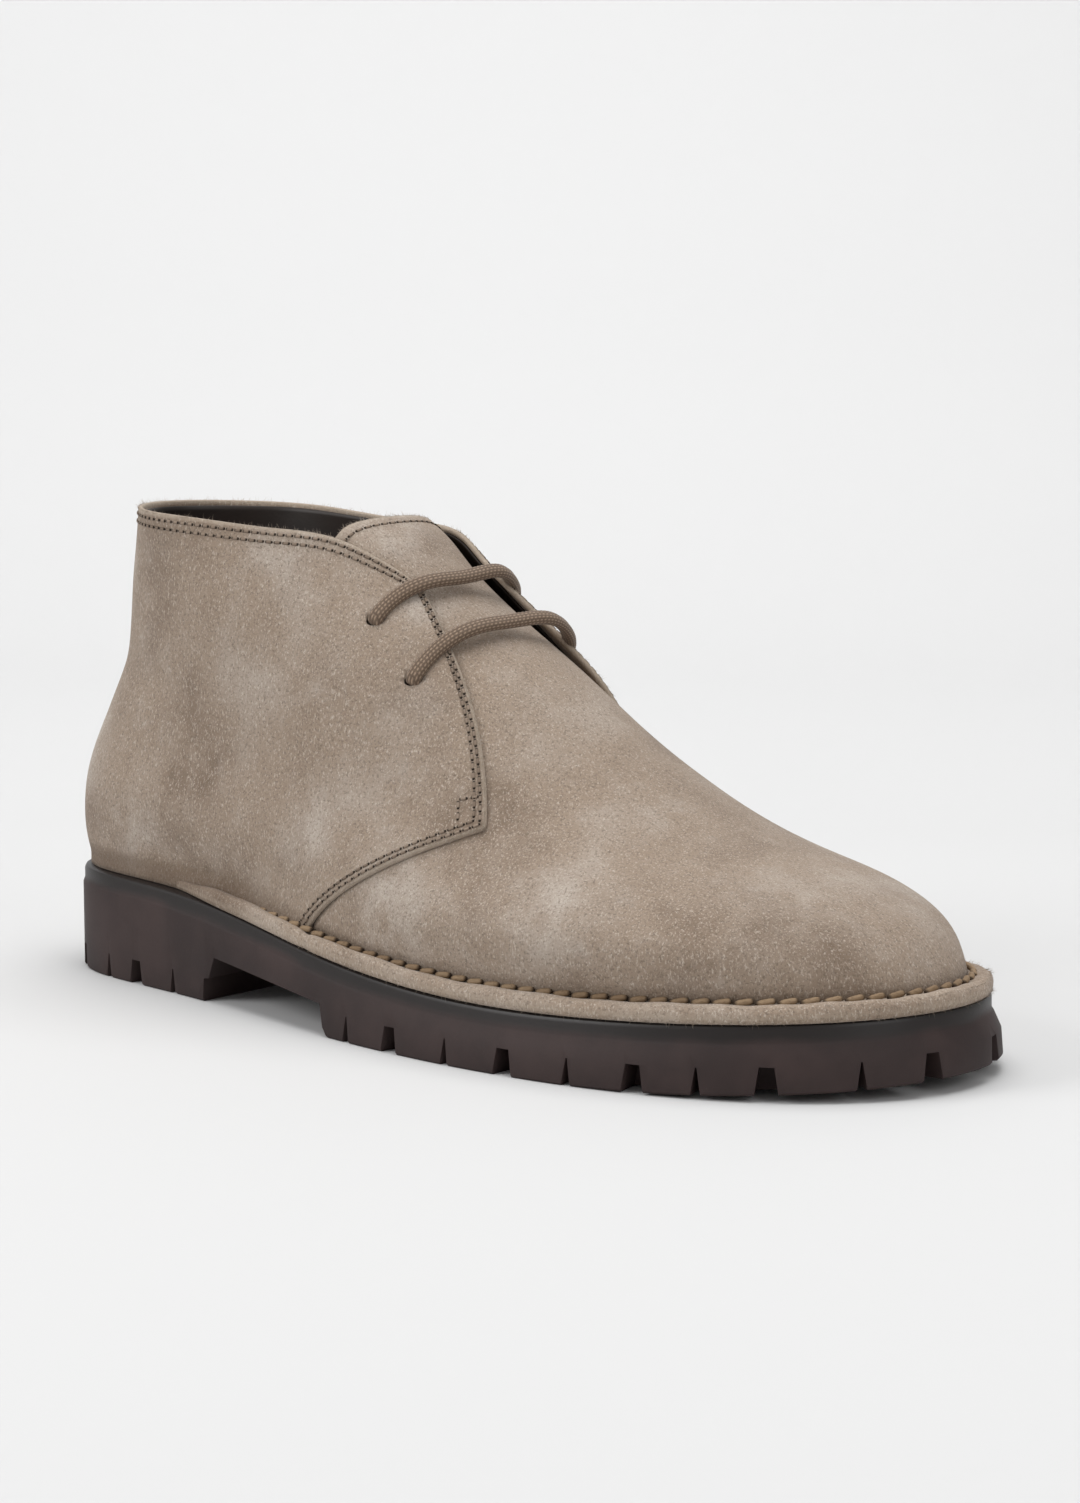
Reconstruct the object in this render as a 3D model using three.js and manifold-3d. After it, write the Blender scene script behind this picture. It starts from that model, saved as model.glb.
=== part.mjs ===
// Right chukka boot: a suede upper with its lower edge turned out over a one-piece lugged
// rubber unit, a tongue under the two facings, an insole and a lace in two bars.
// Lengths are millimetres. +X points to the toe, +Y to the wearer's left (the inner side of a
// right boot) and +Z up. The origin lies on the ground under the middle of the whole boot.
import * as THREE from 'three';
import { mergeVertices } from 'three/addons/utils/BufferGeometryUtils.js';
import Module from 'manifold-3d';

const wasm = await Module();
wasm.setup();

// Sole sizes
const soleLength = 305;
const ballWidth = 112;
const waistWidth = 90;
const heelWidth = 73;
const heelEndRadius = 35;
const toeEndRadius = 46;
const heelThickness = 30.4;
const waistThickness = 20.3;
const ballThickness = 16.5;
const toeSpring = 4.3;
const toeThickness = 16.4;
const soleFlare = 2.6;
const topBandHeight = 5;
const topBandStep = 0.5;
const shoulderRadius = 1.2;

// Tread sizes
const heelBlockLength = 78;
const treadStart = 138;
const archHeight = 13.2;
const archFrontHeight = 8.7;
const notchHeight = 7;
const notchDepth = 9;
const wideNotchWidth = 6.4;
const thinNotchWidth = 3;
const treadPitch = 19.7;
const channelWidth = 3;
const channelDepth = 4;
const lugLength = 13;

// Upper sizes
const collarHeight = 136.5;
const upperWall = 1.7;
const quarterStep = 1.3;
const facingLift = 3;
const heelSeatInset = 3.8;
const turnWidth = 6.4;
const turnThickness = 3.6;
const turnInset = 0.6;
const hollowDrop = 6;
const eyeletDiameter = 4.6;

// Tongue, insole and lace sizes
const tongueThickness = 1.7;
const tongueUnderlap = 4.5;
const insoleThickness = 3;
const laceDiameter = 3.6;
const laceTail = 6;

// Running clearances
const seatGap = 0.3;

// Mesh resolution
const columns = 56;
const half = columns / 2;

// Natural cubic spline through the knots, as a function of x.
function spline(xs, ys) {
  const last = xs.length - 1;
  const bend = new Array(last + 1).fill(0);
  const carry = new Array(last + 1).fill(0);
  for (let i = 1; i < last; i += 1) {
    const span = xs[i + 1] - xs[i - 1];
    const ratio = (xs[i] - xs[i - 1]) / span;
    const pivot = ratio * bend[i - 1] + 2;
    const slopeAfter = (ys[i + 1] - ys[i]) / (xs[i + 1] - xs[i]);
    const slopeBefore = (ys[i] - ys[i - 1]) / (xs[i] - xs[i - 1]);
    bend[i] = (ratio - 1) / pivot;
    carry[i] = (6 * (slopeAfter - slopeBefore) / span - ratio * carry[i - 1]) / pivot;
  }
  for (let i = last - 1; i > 0; i -= 1) {
    bend[i] = bend[i] * bend[i + 1] + carry[i];
  }
  bend[0] = 0;
  bend[last] = 0;
  return x => {
    let k = 0;
    while (k < last - 1 && x > xs[k + 1]) {
      k += 1;
    }
    const step = xs[k + 1] - xs[k];
    const a = (xs[k + 1] - x) / step;
    const b = (x - xs[k]) / step;
    const curl = (a ** 3 - a) * bend[k] + (b ** 3 - b) * bend[k + 1];
    return a * ys[k] + b * ys[k + 1] + curl * step * step / 6;
  };
}

function smoothstep(low, high, x) {
  const t = Math.min(1, Math.max(0, (x - low) / (high - low)));
  return t * t * (3 - 2 * t);
}

// A footprint is a closed loop of columns. Column 0 is the middle of the heel, column `half` the
// tip of the toe, and the outer side of the boot comes first. It has round ends of a stated
// radius and a half-width at three stations, given as shares of its length.
function footprint({ back, front, stations, outer, inner, backRadius, frontRadius }) {
  const length = front - back;
  const knots = [0, ...stations, 1];
  const fullness = widths => spline(knots, [
    Math.sqrt(backRadius * length / 2),
    ...widths.map((w, i) => w / (2 * Math.sqrt(stations[i] * (1 - stations[i])))),
    Math.sqrt(frontRadius * length / 2),
  ]);
  const outerFullness = fullness(outer);
  const innerFullness = fullness(inner);
  const halfWidth = (share, side) => {
    const round = 2 * Math.sqrt(Math.max(0, share * (1 - share)));
    return round * (side < 0 ? outerFullness(share) : innerFullness(share));
  };
  const at = column => {
    const angle = 2 * Math.PI * column / columns;
    const share = (1 - Math.cos(angle)) / 2;
    const side = Math.sin(angle) >= 0 ? -1 : 1;
    return { share, x: back + length * share, y: side * halfWidth(share, side) };
  };
  return { back, front, length, halfWidth, at };
}

// Sole outline, as shares of the three widths that fall to the outer and the inner side.
const soleStations = [0.12, 0.42, 0.70];
const soleWidths = [heelWidth, waistWidth, ballWidth];
const outerShares = [0.49, 0.617, 0.571];

// The side leans in towards the top by a flare that is full from the ball forward and fades out
// at the heel. Insets are given for the heel, the waist and the ball.
const flareShares = [0, 0.6, 1];

function soleSizes(flare, insets) {
  const drawn = insets.map((inset, i) => inset + flare * flareShares[i]);
  return {
    back: drawn[0],
    front: soleLength - drawn[2],
    stations: soleStations,
    outer: soleWidths.map((w, i) => w * outerShares[i] - drawn[i]),
    inner: soleWidths.map((w, i) => w * (1 - outerShares[i]) - drawn[i]),
    backRadius: heelEndRadius - drawn[0],
    frontRadius: toeEndRadius - drawn[2],
  };
}

function soleFootprint(flare, inset) {
  return footprint(soleSizes(flare, [inset, inset, inset]));
}

// Ground line and top edge of the sole, as heights along its length.
const springStart = 0.70 * soleLength;

function groundHeight(x) {
  const along = Math.max(0, x - springStart) / (soleLength - springStart);
  return toeSpring * along * along;
}

const soleTop = spline(
  [0, 0.22, 0.45, 0.62, 0.75, 1].map(share => share * soleLength),
  [
    heelThickness,
    0.95 * heelThickness,
    waistThickness,
    ballThickness,
    1.03 * ballThickness,
    toeSpring + toeThickness,
  ],
);

function manifoldFrom(positions, triangles) {
  const vertProperties = Float32Array.from(positions.flatMap(p => [p.x, p.y, p.z]));
  const triVerts = Uint32Array.from(triangles.flat());
  return new wasm.Manifold(new wasm.Mesh({ numProp: 3, vertProperties, triVerts }));
}

// Closed solid through a stack of loops of equal length, lowest first. Each end is closed by
// strips that run straight across from one side to the other.
function loft(rows) {
  const count = rows[0].length;
  const middle = count / 2;
  const triangles = [];
  for (let r = 0; r + 1 < rows.length; r += 1) {
    for (let c = 0; c < count; c += 1) {
      const next = (c + 1) % count;
      const a = r * count + c;
      const b = r * count + next;
      triangles.push([a, b, a + count], [b, b + count, a + count]);
    }
  }
  const lid = (base, flip) => {
    for (let c = 0; c < middle; c += 1) {
      const quad = [base + c, base + c + 1, base + count - c - 1, base + (count - c) % count];
      const corners = quad.filter((v, i) => quad.indexOf(v) === i);
      for (let k = 1; k + 1 < corners.length; k += 1) {
        const face = [corners[0], corners[k], corners[k + 1]];
        triangles.push(flip ? face.reverse() : face);
      }
    }
  };
  lid(0, true);
  lid((rows.length - 1) * count, false);
  return manifoldFrom(rows.flat(), triangles);
}

function solidFrom(geometry) {
  const bare = geometry.clone();
  bare.deleteAttribute('normal');
  bare.deleteAttribute('uv');
  const merged = mergeVertices(bare, 1e-4);
  const vertProperties = Float32Array.from(merged.attributes.position.array);
  const triVerts = Uint32Array.from(merged.index.array);
  return new wasm.Manifold(new wasm.Mesh({ numProp: 3, vertProperties, triVerts }));
}

function geometryFrom(solid) {
  const mesh = solid.getMesh();
  const geometry = new THREE.BufferGeometry();
  geometry.setAttribute('position', new THREE.BufferAttribute(Float32Array.from(mesh.vertProperties), 3));
  geometry.setIndex(new THREE.BufferAttribute(Uint32Array.from(mesh.triVerts), 1));
  const faceted = geometry.toNonIndexed();
  faceted.computeVertexNormals();
  return faceted;
}

// Side outline in X and Z, cut straight through the boot from side to side.
const throughWidth = 2 * ballWidth;

function sideCut(shape, segments = 6) {
  const geometry = new THREE.ExtrudeGeometry(shape, {
    depth: throughWidth,
    bevelEnabled: false,
    curveSegments: segments,
  });
  geometry.rotateX(Math.PI / 2);
  geometry.translate(0, throughWidth / 2, 0);
  return solidFrom(geometry);
}

function soleRow(flare, inset, heightAt) {
  const outline = soleFootprint(flare, inset);
  return Array.from({ length: columns }, (unused, c) => {
    const { x, y } = outline.at(c);
    return new THREE.Vector3(x, y, heightAt(x));
  });
}

// Walks round the sole's ground outline and gives the place, the outward direction and the
// distance walked from the middle of the heel.
function walkOutline(side) {
  const outline = soleFootprint(0, 0);
  const steps = 400;
  const path = [];
  let walked = 0;
  for (let i = 0; i <= steps; i += 1) {
    const share = (1 - Math.cos(Math.PI * i / steps)) / 2;
    const spot = new THREE.Vector3(soleLength * share, side * outline.halfWidth(share, side), 0);
    if (i > 0) {
      walked += spot.distanceTo(path[i - 1].spot);
    }
    path.push({ spot, walked });
  }
  return path;
}

function notchCutter(path, index, width) {
  const along = path[Math.min(path.length - 1, index + 1)].spot.clone();
  along.sub(path[Math.max(0, index - 1)].spot).normalize();
  const up = new THREE.Vector3(0, 0, 1);
  const through = new THREE.Vector3().crossVectors(along, up);
  const spot = path[index].spot;
  const foot = groundHeight(spot.x) - 1;
  const head = groundHeight(spot.x) + notchHeight;
  const headWidth = width - thinNotchWidth + 0.4;
  const shape = new THREE.Shape([
    new THREE.Vector2(-width / 2, foot),
    new THREE.Vector2(width / 2, foot),
    new THREE.Vector2(headWidth / 2, head),
    new THREE.Vector2(-headWidth / 2, head),
  ]);
  const geometry = new THREE.ExtrudeGeometry(shape, { depth: 2 * notchDepth, bevelEnabled: false });
  geometry.translate(0, 0, -notchDepth);
  const frame = new THREE.Matrix4().makeBasis(along, up, through);
  geometry.applyMatrix4(frame.setPosition(spot));
  return solidFrom(geometry);
}

// Side notches, thin and wide by turns. Their places are counted in tread pitches, from the
// heel's front edge backwards and from the start of the forefoot's tread forwards.
const heelNotches = [0.76, 1.68, 2.4, 3.4, 4.4];
const foreNotches = [0.45, 1.35, 2.4, 3.4, 4.4, 5.35, 6.2, 7.1, 8.3, 9.3, 10.3, 11.3];

function notches() {
  const cutters = [];
  for (const side of [-1, 1]) {
    const path = walkOutline(side);
    const lastStep = path.length - 1;
    const atX = x => path.findIndex(step => step.spot.x >= x);
    const cutRow = (places, start, direction) => places.forEach((place, k) => {
      const walked = start + direction * place * treadPitch;
      const clear = wideNotchWidth / 2;
      if (walked > clear && walked < path[lastStep].walked - clear) {
        const index = path.findIndex(step => step.walked >= walked);
        cutters.push(notchCutter(path, index, k % 2 ? wideNotchWidth : thinNotchWidth));
      }
    });
    cutRow(heelNotches, path[atX(heelBlockLength)].walked, -1);
    cutRow(foreNotches, path[atX(treadStart)].walked, 1);
  }
  return cutters;
}

// Channel that parts the edge lugs from the middle of the tread, between two x limits.
function edgeChannel(fromX, toX) {
  const lane = inset => {
    const outline = soleFootprint(0, inset);
    const shares = Array.from({ length: half + 1 }, (unused, i) => {
      const start = (fromX - outline.back) / outline.length;
      const end = (toX - outline.back) / outline.length;
      return start + (end - start) * (1 - Math.cos(Math.PI * i / half)) / 2;
    });
    const points = side => shares.map(share => new THREE.Vector2(
      outline.back + outline.length * share,
      side * outline.halfWidth(share, side),
    ));
    return new THREE.Shape([...points(-1), ...points(1).reverse()]);
  };
  const prism = shape => solidFrom(new THREE.ExtrudeGeometry(shape, {
    depth: channelDepth + 1,
    bevelEnabled: false,
  }).translate(0, 0, -1));
  return prism(lane(notchDepth)).subtract(prism(lane(notchDepth + channelWidth)));
}

// Grooves across the middle of the tread, which leave one bar of rubber every lug length.
function crossGrooves(fromX, toX) {
  const grooves = [];
  const pitch = lugLength + channelWidth;
  const count = Math.floor((toX - fromX) / pitch);
  const outline = soleFootprint(0, notchDepth + channelWidth / 2);
  for (let k = 1; k < count; k += 1) {
    const x = fromX + k * (toX - fromX) / count;
    const share = (x - outline.back) / outline.length;
    const outerY = -outline.halfWidth(share, -1);
    const innerY = outline.halfWidth(share, 1);
    const bar = new THREE.BoxGeometry(channelWidth, innerY - outerY, channelDepth + 1);
    bar.translate(x, (innerY + outerY) / 2, (channelDepth - 1) / 2);
    grooves.push(solidFrom(bar));
  }
  return grooves;
}

function archCut() {
  const shape = new THREE.Shape([
    new THREE.Vector2(heelBlockLength, -1),
    new THREE.Vector2(heelBlockLength + 0.5, 0.5 * archHeight),
    new THREE.Vector2(heelBlockLength + 3, 0.5 * archHeight + 0.4),
    new THREE.Vector2(heelBlockLength + 5.5, archHeight),
    new THREE.Vector2(treadStart - 3, archFrontHeight),
    new THREE.Vector2(treadStart - 1.5, 2.6),
    new THREE.Vector2(treadStart + 1.5, -1),
  ].reverse());
  return sideCut(shape);
}

function outsole() {
  const groundRow = soleRow(0, 0, groundHeight);
  const treadRow = soleRow(0.2 * soleFlare, 0, x => groundHeight(x) + notchHeight);
  const underBand = soleRow(soleFlare, 0, x => soleTop(x) - topBandHeight);
  const band = soleRow(soleFlare, topBandStep, x => soleTop(x) - topBandHeight + topBandStep);
  const shoulder = soleRow(soleFlare, topBandStep, x => soleTop(x) - shoulderRadius);
  const top = soleRow(soleFlare, topBandStep + shoulderRadius, soleTop);
  const body = loft([groundRow, treadRow, underBand, band, shoulder, top]);
  const channelEnd = soleLength - 2 * toeEndRadius / 3;
  const cutters = [
    archCut(),
    ...notches(),
    edgeChannel(0.3 * heelBlockLength, 0.85 * heelBlockLength),
    edgeChannel(treadStart + channelWidth, channelEnd),
    ...crossGrooves(treadStart + channelWidth, channelEnd),
  ];
  return wasm.Manifold.difference([body, ...cutters]);
}

// Level loops of the upper, from just over the sole to the tongue's top. Distances along the
// boot and end radii are shares of the sole's length, heights are shares of the collar height
// and half-widths are shares of the ball width. `sag` bends a loop down at its middle.
const loopStations = [0.15, 0.42, 0.68];
const loopTable = [
  { level: 0.14, back: 0.009, backHeight: 0.317, front: 0.946, frontHeight: 0.265, sag: -0.040,
    outer: [0.299, 0.422, 0.521], inner: [0.299, 0.281, 0.386], backRadius: 0.115, frontRadius: 0.144 },
  { level: 0.30, back: 0.010, backHeight: 0.424, front: 0.876, frontHeight: 0.344, sag: -0.028,
    outer: [0.309, 0.392, 0.449], inner: [0.309, 0.290, 0.376], backRadius: 0.100, frontRadius: 0.113 },
  { level: 0.48, back: 0.034, backHeight: 0.561, front: 0.734, frontHeight: 0.457, sag: -0.016,
    outer: [0.268, 0.343, 0.356], inner: [0.268, 0.287, 0.331], backRadius: 0.083, frontRadius: 0.080 },
  { level: 0.66, back: 0.060, backHeight: 0.712, front: 0.573, frontHeight: 0.689, sag: -0.004,
    outer: [0.238, 0.306, 0.301], inner: [0.238, 0.276, 0.287], backRadius: 0.072, frontRadius: 0.063 },
  { level: 0.83, back: 0.067, backHeight: 0.856, front: 0.459, frontHeight: 0.855, sag: 0.005,
    outer: [0.221, 0.286, 0.258], inner: [0.221, 0.271, 0.264], backRadius: 0.068, frontRadius: 0.059 },
  { level: 1.00, back: 0.077, backHeight: 1.003, front: 0.411, frontHeight: 0.940, sag: 0.008,
    outer: [0.221, 0.271, 0.224], inner: [0.221, 0.263, 0.255], backRadius: 0.063, frontRadius: 0.066 },
  { level: 1.15, back: 0.082, backHeight: 1.110, front: 0.357, frontHeight: 1.015, sag: 0.008,
    outer: [0.215, 0.262, 0.215], inner: [0.215, 0.258, 0.240], backRadius: 0.062, frontRadius: 0.062 },
];
const topLevel = 1.12;
const rowLevels = [
  0, 0.05, 0.1, 0.15, 0.2, 0.26, 0.32, 0.38, 0.45, 0.52, 0.6, 0.68, 0.76, 0.84, 0.92, 1, topLevel,
];

// The lowest loop follows the sole's top edge, a seat inset in from it at the heel and the width
// of the turned-out edge in from it round the forefoot.
const turnRise = seatGap + turnThickness;
const seatLoop = {
  ...soleSizes(soleFlare, [heelSeatInset, 0.75 * turnWidth, turnWidth]),
  level: 0,
  backHeight: soleTop(0) + turnRise,
  frontHeight: soleTop(soleLength) + turnRise,
  sag: 0,
  wave: 1,
};
const loops = [seatLoop, ...loopTable.map(row => ({
  level: row.level,
  back: row.back * soleLength,
  front: row.front * soleLength,
  backHeight: row.backHeight * collarHeight,
  frontHeight: row.frontHeight * collarHeight,
  sag: row.sag * collarHeight,
  wave: 0,
  outer: row.outer.map(w => w * ballWidth),
  inner: row.inner.map(w => w * ballWidth),
  backRadius: row.backRadius * soleLength,
  frontRadius: row.frontRadius * soleLength,
}))];

const levels = loops.map(row => row.level);
const overLevels = pick => spline(levels, loops.map(pick));
const loopCurves = {
  back: overLevels(row => row.back),
  front: overLevels(row => row.front),
  backHeight: overLevels(row => row.backHeight),
  frontHeight: overLevels(row => row.frontHeight),
  sag: overLevels(row => row.sag),
  wave: overLevels(row => row.wave),
  backRadius: overLevels(row => row.backRadius),
  frontRadius: overLevels(row => row.frontRadius),
  outer: [0, 1, 2].map(i => overLevels(row => row.outer[i])),
  inner: [0, 1, 2].map(i => overLevels(row => row.inner[i])),
};

// Point of the last's surface at a level and a column, both of which may lie between rows.
function lastPoint(level, column) {
  const blend = smoothstep(0, 0.14, level);
  const outline = footprint({
    back: loopCurves.back(level),
    front: loopCurves.front(level),
    stations: soleStations.map((s, i) => s + (loopStations[i] - s) * blend),
    outer: loopCurves.outer.map(curve => curve(level)),
    inner: loopCurves.inner.map(curve => curve(level)),
    backRadius: loopCurves.backRadius(level),
    frontRadius: loopCurves.frontRadius(level),
  });
  const { share, x, y } = outline.at(column);
  const chord = THREE.MathUtils.lerp(loopCurves.backHeight(level), loopCurves.frontHeight(level), share);
  const seatChord = THREE.MathUtils.lerp(soleTop(0), soleTop(soleLength), share);
  const wave = loopCurves.wave(level) * (soleTop(x) - seatChord);
  const z = chord + loopCurves.sag(level) * Math.sin(Math.PI * share) + wave;
  return new THREE.Vector3(x, y, z);
}

function lastNormal(level, column) {
  const step = 0.02;
  const up = lastPoint(level + step, column).sub(lastPoint(Math.max(0, level - step), column));
  const along = lastPoint(level, column + 0.2).sub(lastPoint(level, column - 0.2));
  return along.cross(up).normalize();
}

// The last grown or shrunk by an offset, which a lift may add to from place to place. Its foot
// stands at a height over the sole's top edge. A hollow's foot drops below the wall's own foot, so
// that the wall is open underneath.
function lastForm(offset, footHeight, liftAt = () => 0) {
  const rows = rowLevels.map(level => Array.from({ length: columns }, (unused, c) => {
    const push = lastNormal(level, c);
    if (level === 0) {
      push.setZ(0).normalize();
    }
    const spot = lastPoint(level, c);
    return spot.addScaledVector(push, offset + liftAt(spot));
  }));
  const foot = rows[0].map(spot => spot.clone().setZ(spot.z - turnRise + footHeight));
  return loft([foot, ...rows]);
}

// Lines of the panels seen from the side, as shares of the sole's length and the collar height.
const place = ([x, z]) => new THREE.Vector2(x * soleLength, z * collarHeight);
const topline = [
  [-0.05, 1.003], [0.09, 1.0], [0.217, 0.985], [0.295, 0.969],
  [0.36, 0.951], [0.403, 0.907], [0.442, 0.853],
].map(place);
const facingEdge = [
  [0.442, 0.853], [0.478, 0.780], [0.524, 0.672], [0.563, 0.547], [0.590, 0.427],
].map(place);
const quarterFoot = [
  [0.590, 0.427], [0.524, 0.364], [0.457, 0.286], [0.412, 0.210], [0.400, 0.1],
].map(place);
const tongueTop = [[0.345, 0.91], [0.357, 0.965], [0.378, 1.0], [0.395, 1.01]].map(place);
const throatX = 0.565 * soleLength;

// The inner side's facing stands off the tongue, most of all at its edge.
function innerFacingLift(spot) {
  if (spot.y <= 0) {
    return 0;
  }
  const edge = [...topline.slice(-2), ...facingEdge.slice(1)];
  const side = new THREE.Vector2(spot.x, spot.z);
  const away = Math.min(...edge.slice(1).map((end, i) => {
    const span = end.clone().sub(edge[i]);
    const along = THREE.MathUtils.clamp(side.clone().sub(edge[i]).dot(span) / span.lengthSq(), 0, 1);
    return side.distanceTo(edge[i].clone().addScaledVector(span, along));
  }));
  const nearEdge = 1 - smoothstep(0.03 * collarHeight, 0.2 * collarHeight, away);
  return facingLift * nearEdge * smoothstep(0.5 * collarHeight, 0.68 * collarHeight, spot.z);
}

function quarterOutline() {
  const shape = new THREE.Shape();
  shape.moveTo(topline[0].x, 0);
  shape.lineTo(topline[0].x, topline[0].y);
  shape.splineThru(topline.slice(1));
  shape.splineThru(facingEdge.slice(1));
  shape.splineThru(quarterFoot.slice(1));
  shape.lineTo(quarterFoot.at(-1).x, 0);
  return shape;
}

// The vamp ends in a straight line across the instep, where the tongue takes over from it.
function vampOutline() {
  const corner = facingEdge.at(-1);
  return new THREE.Shape([
    new THREE.Vector2(quarterFoot.at(-1).x - turnWidth, 0),
    new THREE.Vector2(soleLength + turnWidth, 0),
    new THREE.Vector2(soleLength + turnWidth, collarHeight),
    new THREE.Vector2(throatX, collarHeight),
    new THREE.Vector2(throatX, corner.y),
    new THREE.Vector2(quarterFoot.at(-1).x - turnWidth, 0.8 * corner.y),
  ]);
}

// The tongue reaches an underlap behind the facing's edge. A margin grows it on every side.
function tongueOutline(margin) {
  const front = throatX - seatGap + margin;
  const hem = facingEdge.slice(0, -1).reverse().map(spot => new THREE.Vector2(
    spot.x - tongueUnderlap - margin,
    spot.y - 0.7 * tongueUnderlap - margin,
  ));
  const shape = new THREE.Shape();
  shape.moveTo(front, hem[0].y - tongueUnderlap - margin);
  hem.forEach(spot => shape.lineTo(spot.x, spot.y));
  tongueTop.forEach((spot, i) => shape.lineTo(spot.x - 2 * margin, spot.y + (i ? margin : 0)));
  const overhead = 1.3 * collarHeight;
  shape.lineTo(throatX - 3 * tongueUnderlap, overhead);
  shape.lineTo(front, overhead);
  return shape;
}

function tongueSolid(margin) {
  const outside = lastForm(margin, seatGap);
  const inside = lastForm(-tongueThickness - margin, -hollowDrop);
  return outside.subtract(inside).intersect(sideCut(tongueOutline(margin)));
}

// The upper's lower edge, turned out and rolled over the sole's edge. It fades out at the heel.
const turnFade = [0.13, 0.26];

function turnedEdge() {
  const outer = soleFootprint(soleFlare, turnInset);
  const rings = [];
  for (let c = 0; c <= columns; c += 1) {
    const seat = lastPoint(0, c);
    const edge = outer.at(c % columns);
    const share = edge.share;
    if (share < turnFade[0]) {
      continue;
    }
    const inward = lastNormal(0, c).setZ(0).normalize();
    const full = smoothstep(turnFade[0], turnFade[1], share);
    const rim = new THREE.Vector3(edge.x, edge.y, seat.z);
    const out = rim.clone().sub(seat).setLength(Math.max(0.6, full * rim.distanceTo(seat)));
    const spot = (reach, height) => seat.clone()
      .addScaledVector(out, reach)
      .addScaledVector(inward, reach > 0 ? 0 : -upperWall / 2)
      .setZ(soleTop(seat.x + reach * out.x) + seatGap + height * turnThickness);
    rings.push([
      spot(0, 0), spot(0.9, 0), spot(1, 0.35), spot(0.97, 0.75),
      spot(0.7, 1.05), spot(0.3, 1), spot(0, 0.8),
    ]);
  }
  return sweep(rings);
}

// Closed solid along a chain of equal sections, with a fan over each end.
function sweep(sections) {
  const sides = sections[0].length;
  const triangles = [];
  for (let s = 0; s + 1 < sections.length; s += 1) {
    for (let k = 0; k < sides; k += 1) {
      const next = (k + 1) % sides;
      const a = s * sides + k;
      const b = s * sides + next;
      triangles.push([a, a + sides, b], [b, a + sides, b + sides]);
    }
  }
  const end = (sections.length - 1) * sides;
  for (let k = 1; k + 1 < sides; k += 1) {
    triangles.push([0, k, k + 1], [end, end + k + 1, end + k]);
  }
  const solid = manifoldFrom(sections.flat(), triangles);
  return solid.volume() > 0 ? solid : manifoldFrom(sections.flat(), triangles.map(t => t.reverse()));
}

// Upper and lower eyelet as the side view shows them, the same on both sides.
const eyeletTable = [
  { x: 0.422, z: 0.797 },
  { x: 0.477, z: 0.688 },
];

// Finds the spot of the last, on one side, that the side view shows at x and z.
function spotFromSide(x, z, side) {
  let best = null;
  for (let level = 0.4; level <= 1; level += 0.01) {
    for (let c = 0.5; c < half; c += 0.25) {
      const column = side < 0 ? c : columns - c;
      const spot = lastPoint(level, column);
      const miss = Math.hypot(spot.x - x, spot.z - z);
      if (best === null || miss < best.miss) {
        best = { miss, level, column, spot };
      }
    }
  }
  best.normal = lastNormal(best.level, best.column);
  return best;
}

const eyelets = eyeletTable.map(row => [-1, 1].map(side => (
  spotFromSide(row.x * soleLength, row.z * collarHeight, side)
)));

function eyeletHoles() {
  return eyelets.flat().map(({ spot, normal }) => {
    const reach = 12;
    const hole = new THREE.CylinderGeometry(eyeletDiameter / 2, eyeletDiameter / 2, reach, 12);
    const turn = new THREE.Quaternion().setFromUnitVectors(new THREE.Vector3(0, 1, 0), normal);
    hole.applyQuaternion(turn);
    hole.translate(spot.x, spot.y, spot.z);
    return solidFrom(hole);
  });
}

function upper() {
  const wall = (offset, outline, liftAt) => lastForm(offset, seatGap, liftAt)
    .subtract(lastForm(-upperWall, -hollowDrop, liftAt))
    .intersect(sideCut(outline));
  const vamp = wall(0, vampOutline());
  const quarters = wall(quarterStep, quarterOutline(), innerFacingLift);
  const whole = wasm.Manifold.union([vamp, quarters, turnedEdge()]);
  return wasm.Manifold.difference([whole, tongueSolid(seatGap), ...eyeletHoles()]);
}

// One lace: in at the outer side's upper eyelet, over the tongue, through the inner side's two
// eyelets and back over the tongue to the outer side's lower eyelet. Both tails stop inside.
const laceRide = quarterStep + laceDiameter / 2 + 2 * seatGap;
const laceClimb = 0.095;
const laceSides = 8;
const laceStep = 1.1 * laceDiameter;

function laceBar([outerHole, innerHole]) {
  const inside = -upperWall - laceDiameter / 2 - seatGap;
  const stop = (hole, offset) => {
    const lift = innerFacingLift(hole.spot);
    return hole.spot.clone().addScaledVector(hole.normal, offset + lift);
  };
  const over = [0.1, 0.22, 0.36, 0.5, 0.64, 0.78, 0.9].map(share => {
    const column = THREE.MathUtils.lerp(outerHole.column, innerHole.column, share);
    const level = outerHole.level + laceClimb * Math.sin(Math.PI * share);
    const spot = lastPoint(level, column);
    const lift = innerFacingLift(spot);
    return spot.addScaledVector(lastNormal(level, column), laceRide + lift);
  });
  return [
    stop(outerHole, inside - laceTail / 2),
    stop(outerHole, inside),
    stop(outerHole, 0),
    stop(outerHole, laceRide - 0.2 * laceDiameter),
    ...over,
    stop(innerHole, laceRide - 0.2 * laceDiameter),
    stop(innerHole, 0),
    stop(innerHole, inside),
  ];
}

function lace() {
  const [upperBar, lowerBar] = eyelets.map(laceBar);
  const route = new THREE.CatmullRomCurve3([...upperBar, ...lowerBar.reverse()], false, 'centripetal');
  const ring = Array.from({ length: laceSides }, (unused, i) => {
    const angle = 2 * Math.PI * i / laceSides;
    return new THREE.Vector2(Math.cos(angle), Math.sin(angle)).multiplyScalar(laceDiameter / 2);
  });
  return solidFrom(new THREE.ExtrudeGeometry(new THREE.Shape(ring), {
    extrudePath: route,
    steps: Math.round(route.getLength() / laceStep),
  }));
}

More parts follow.
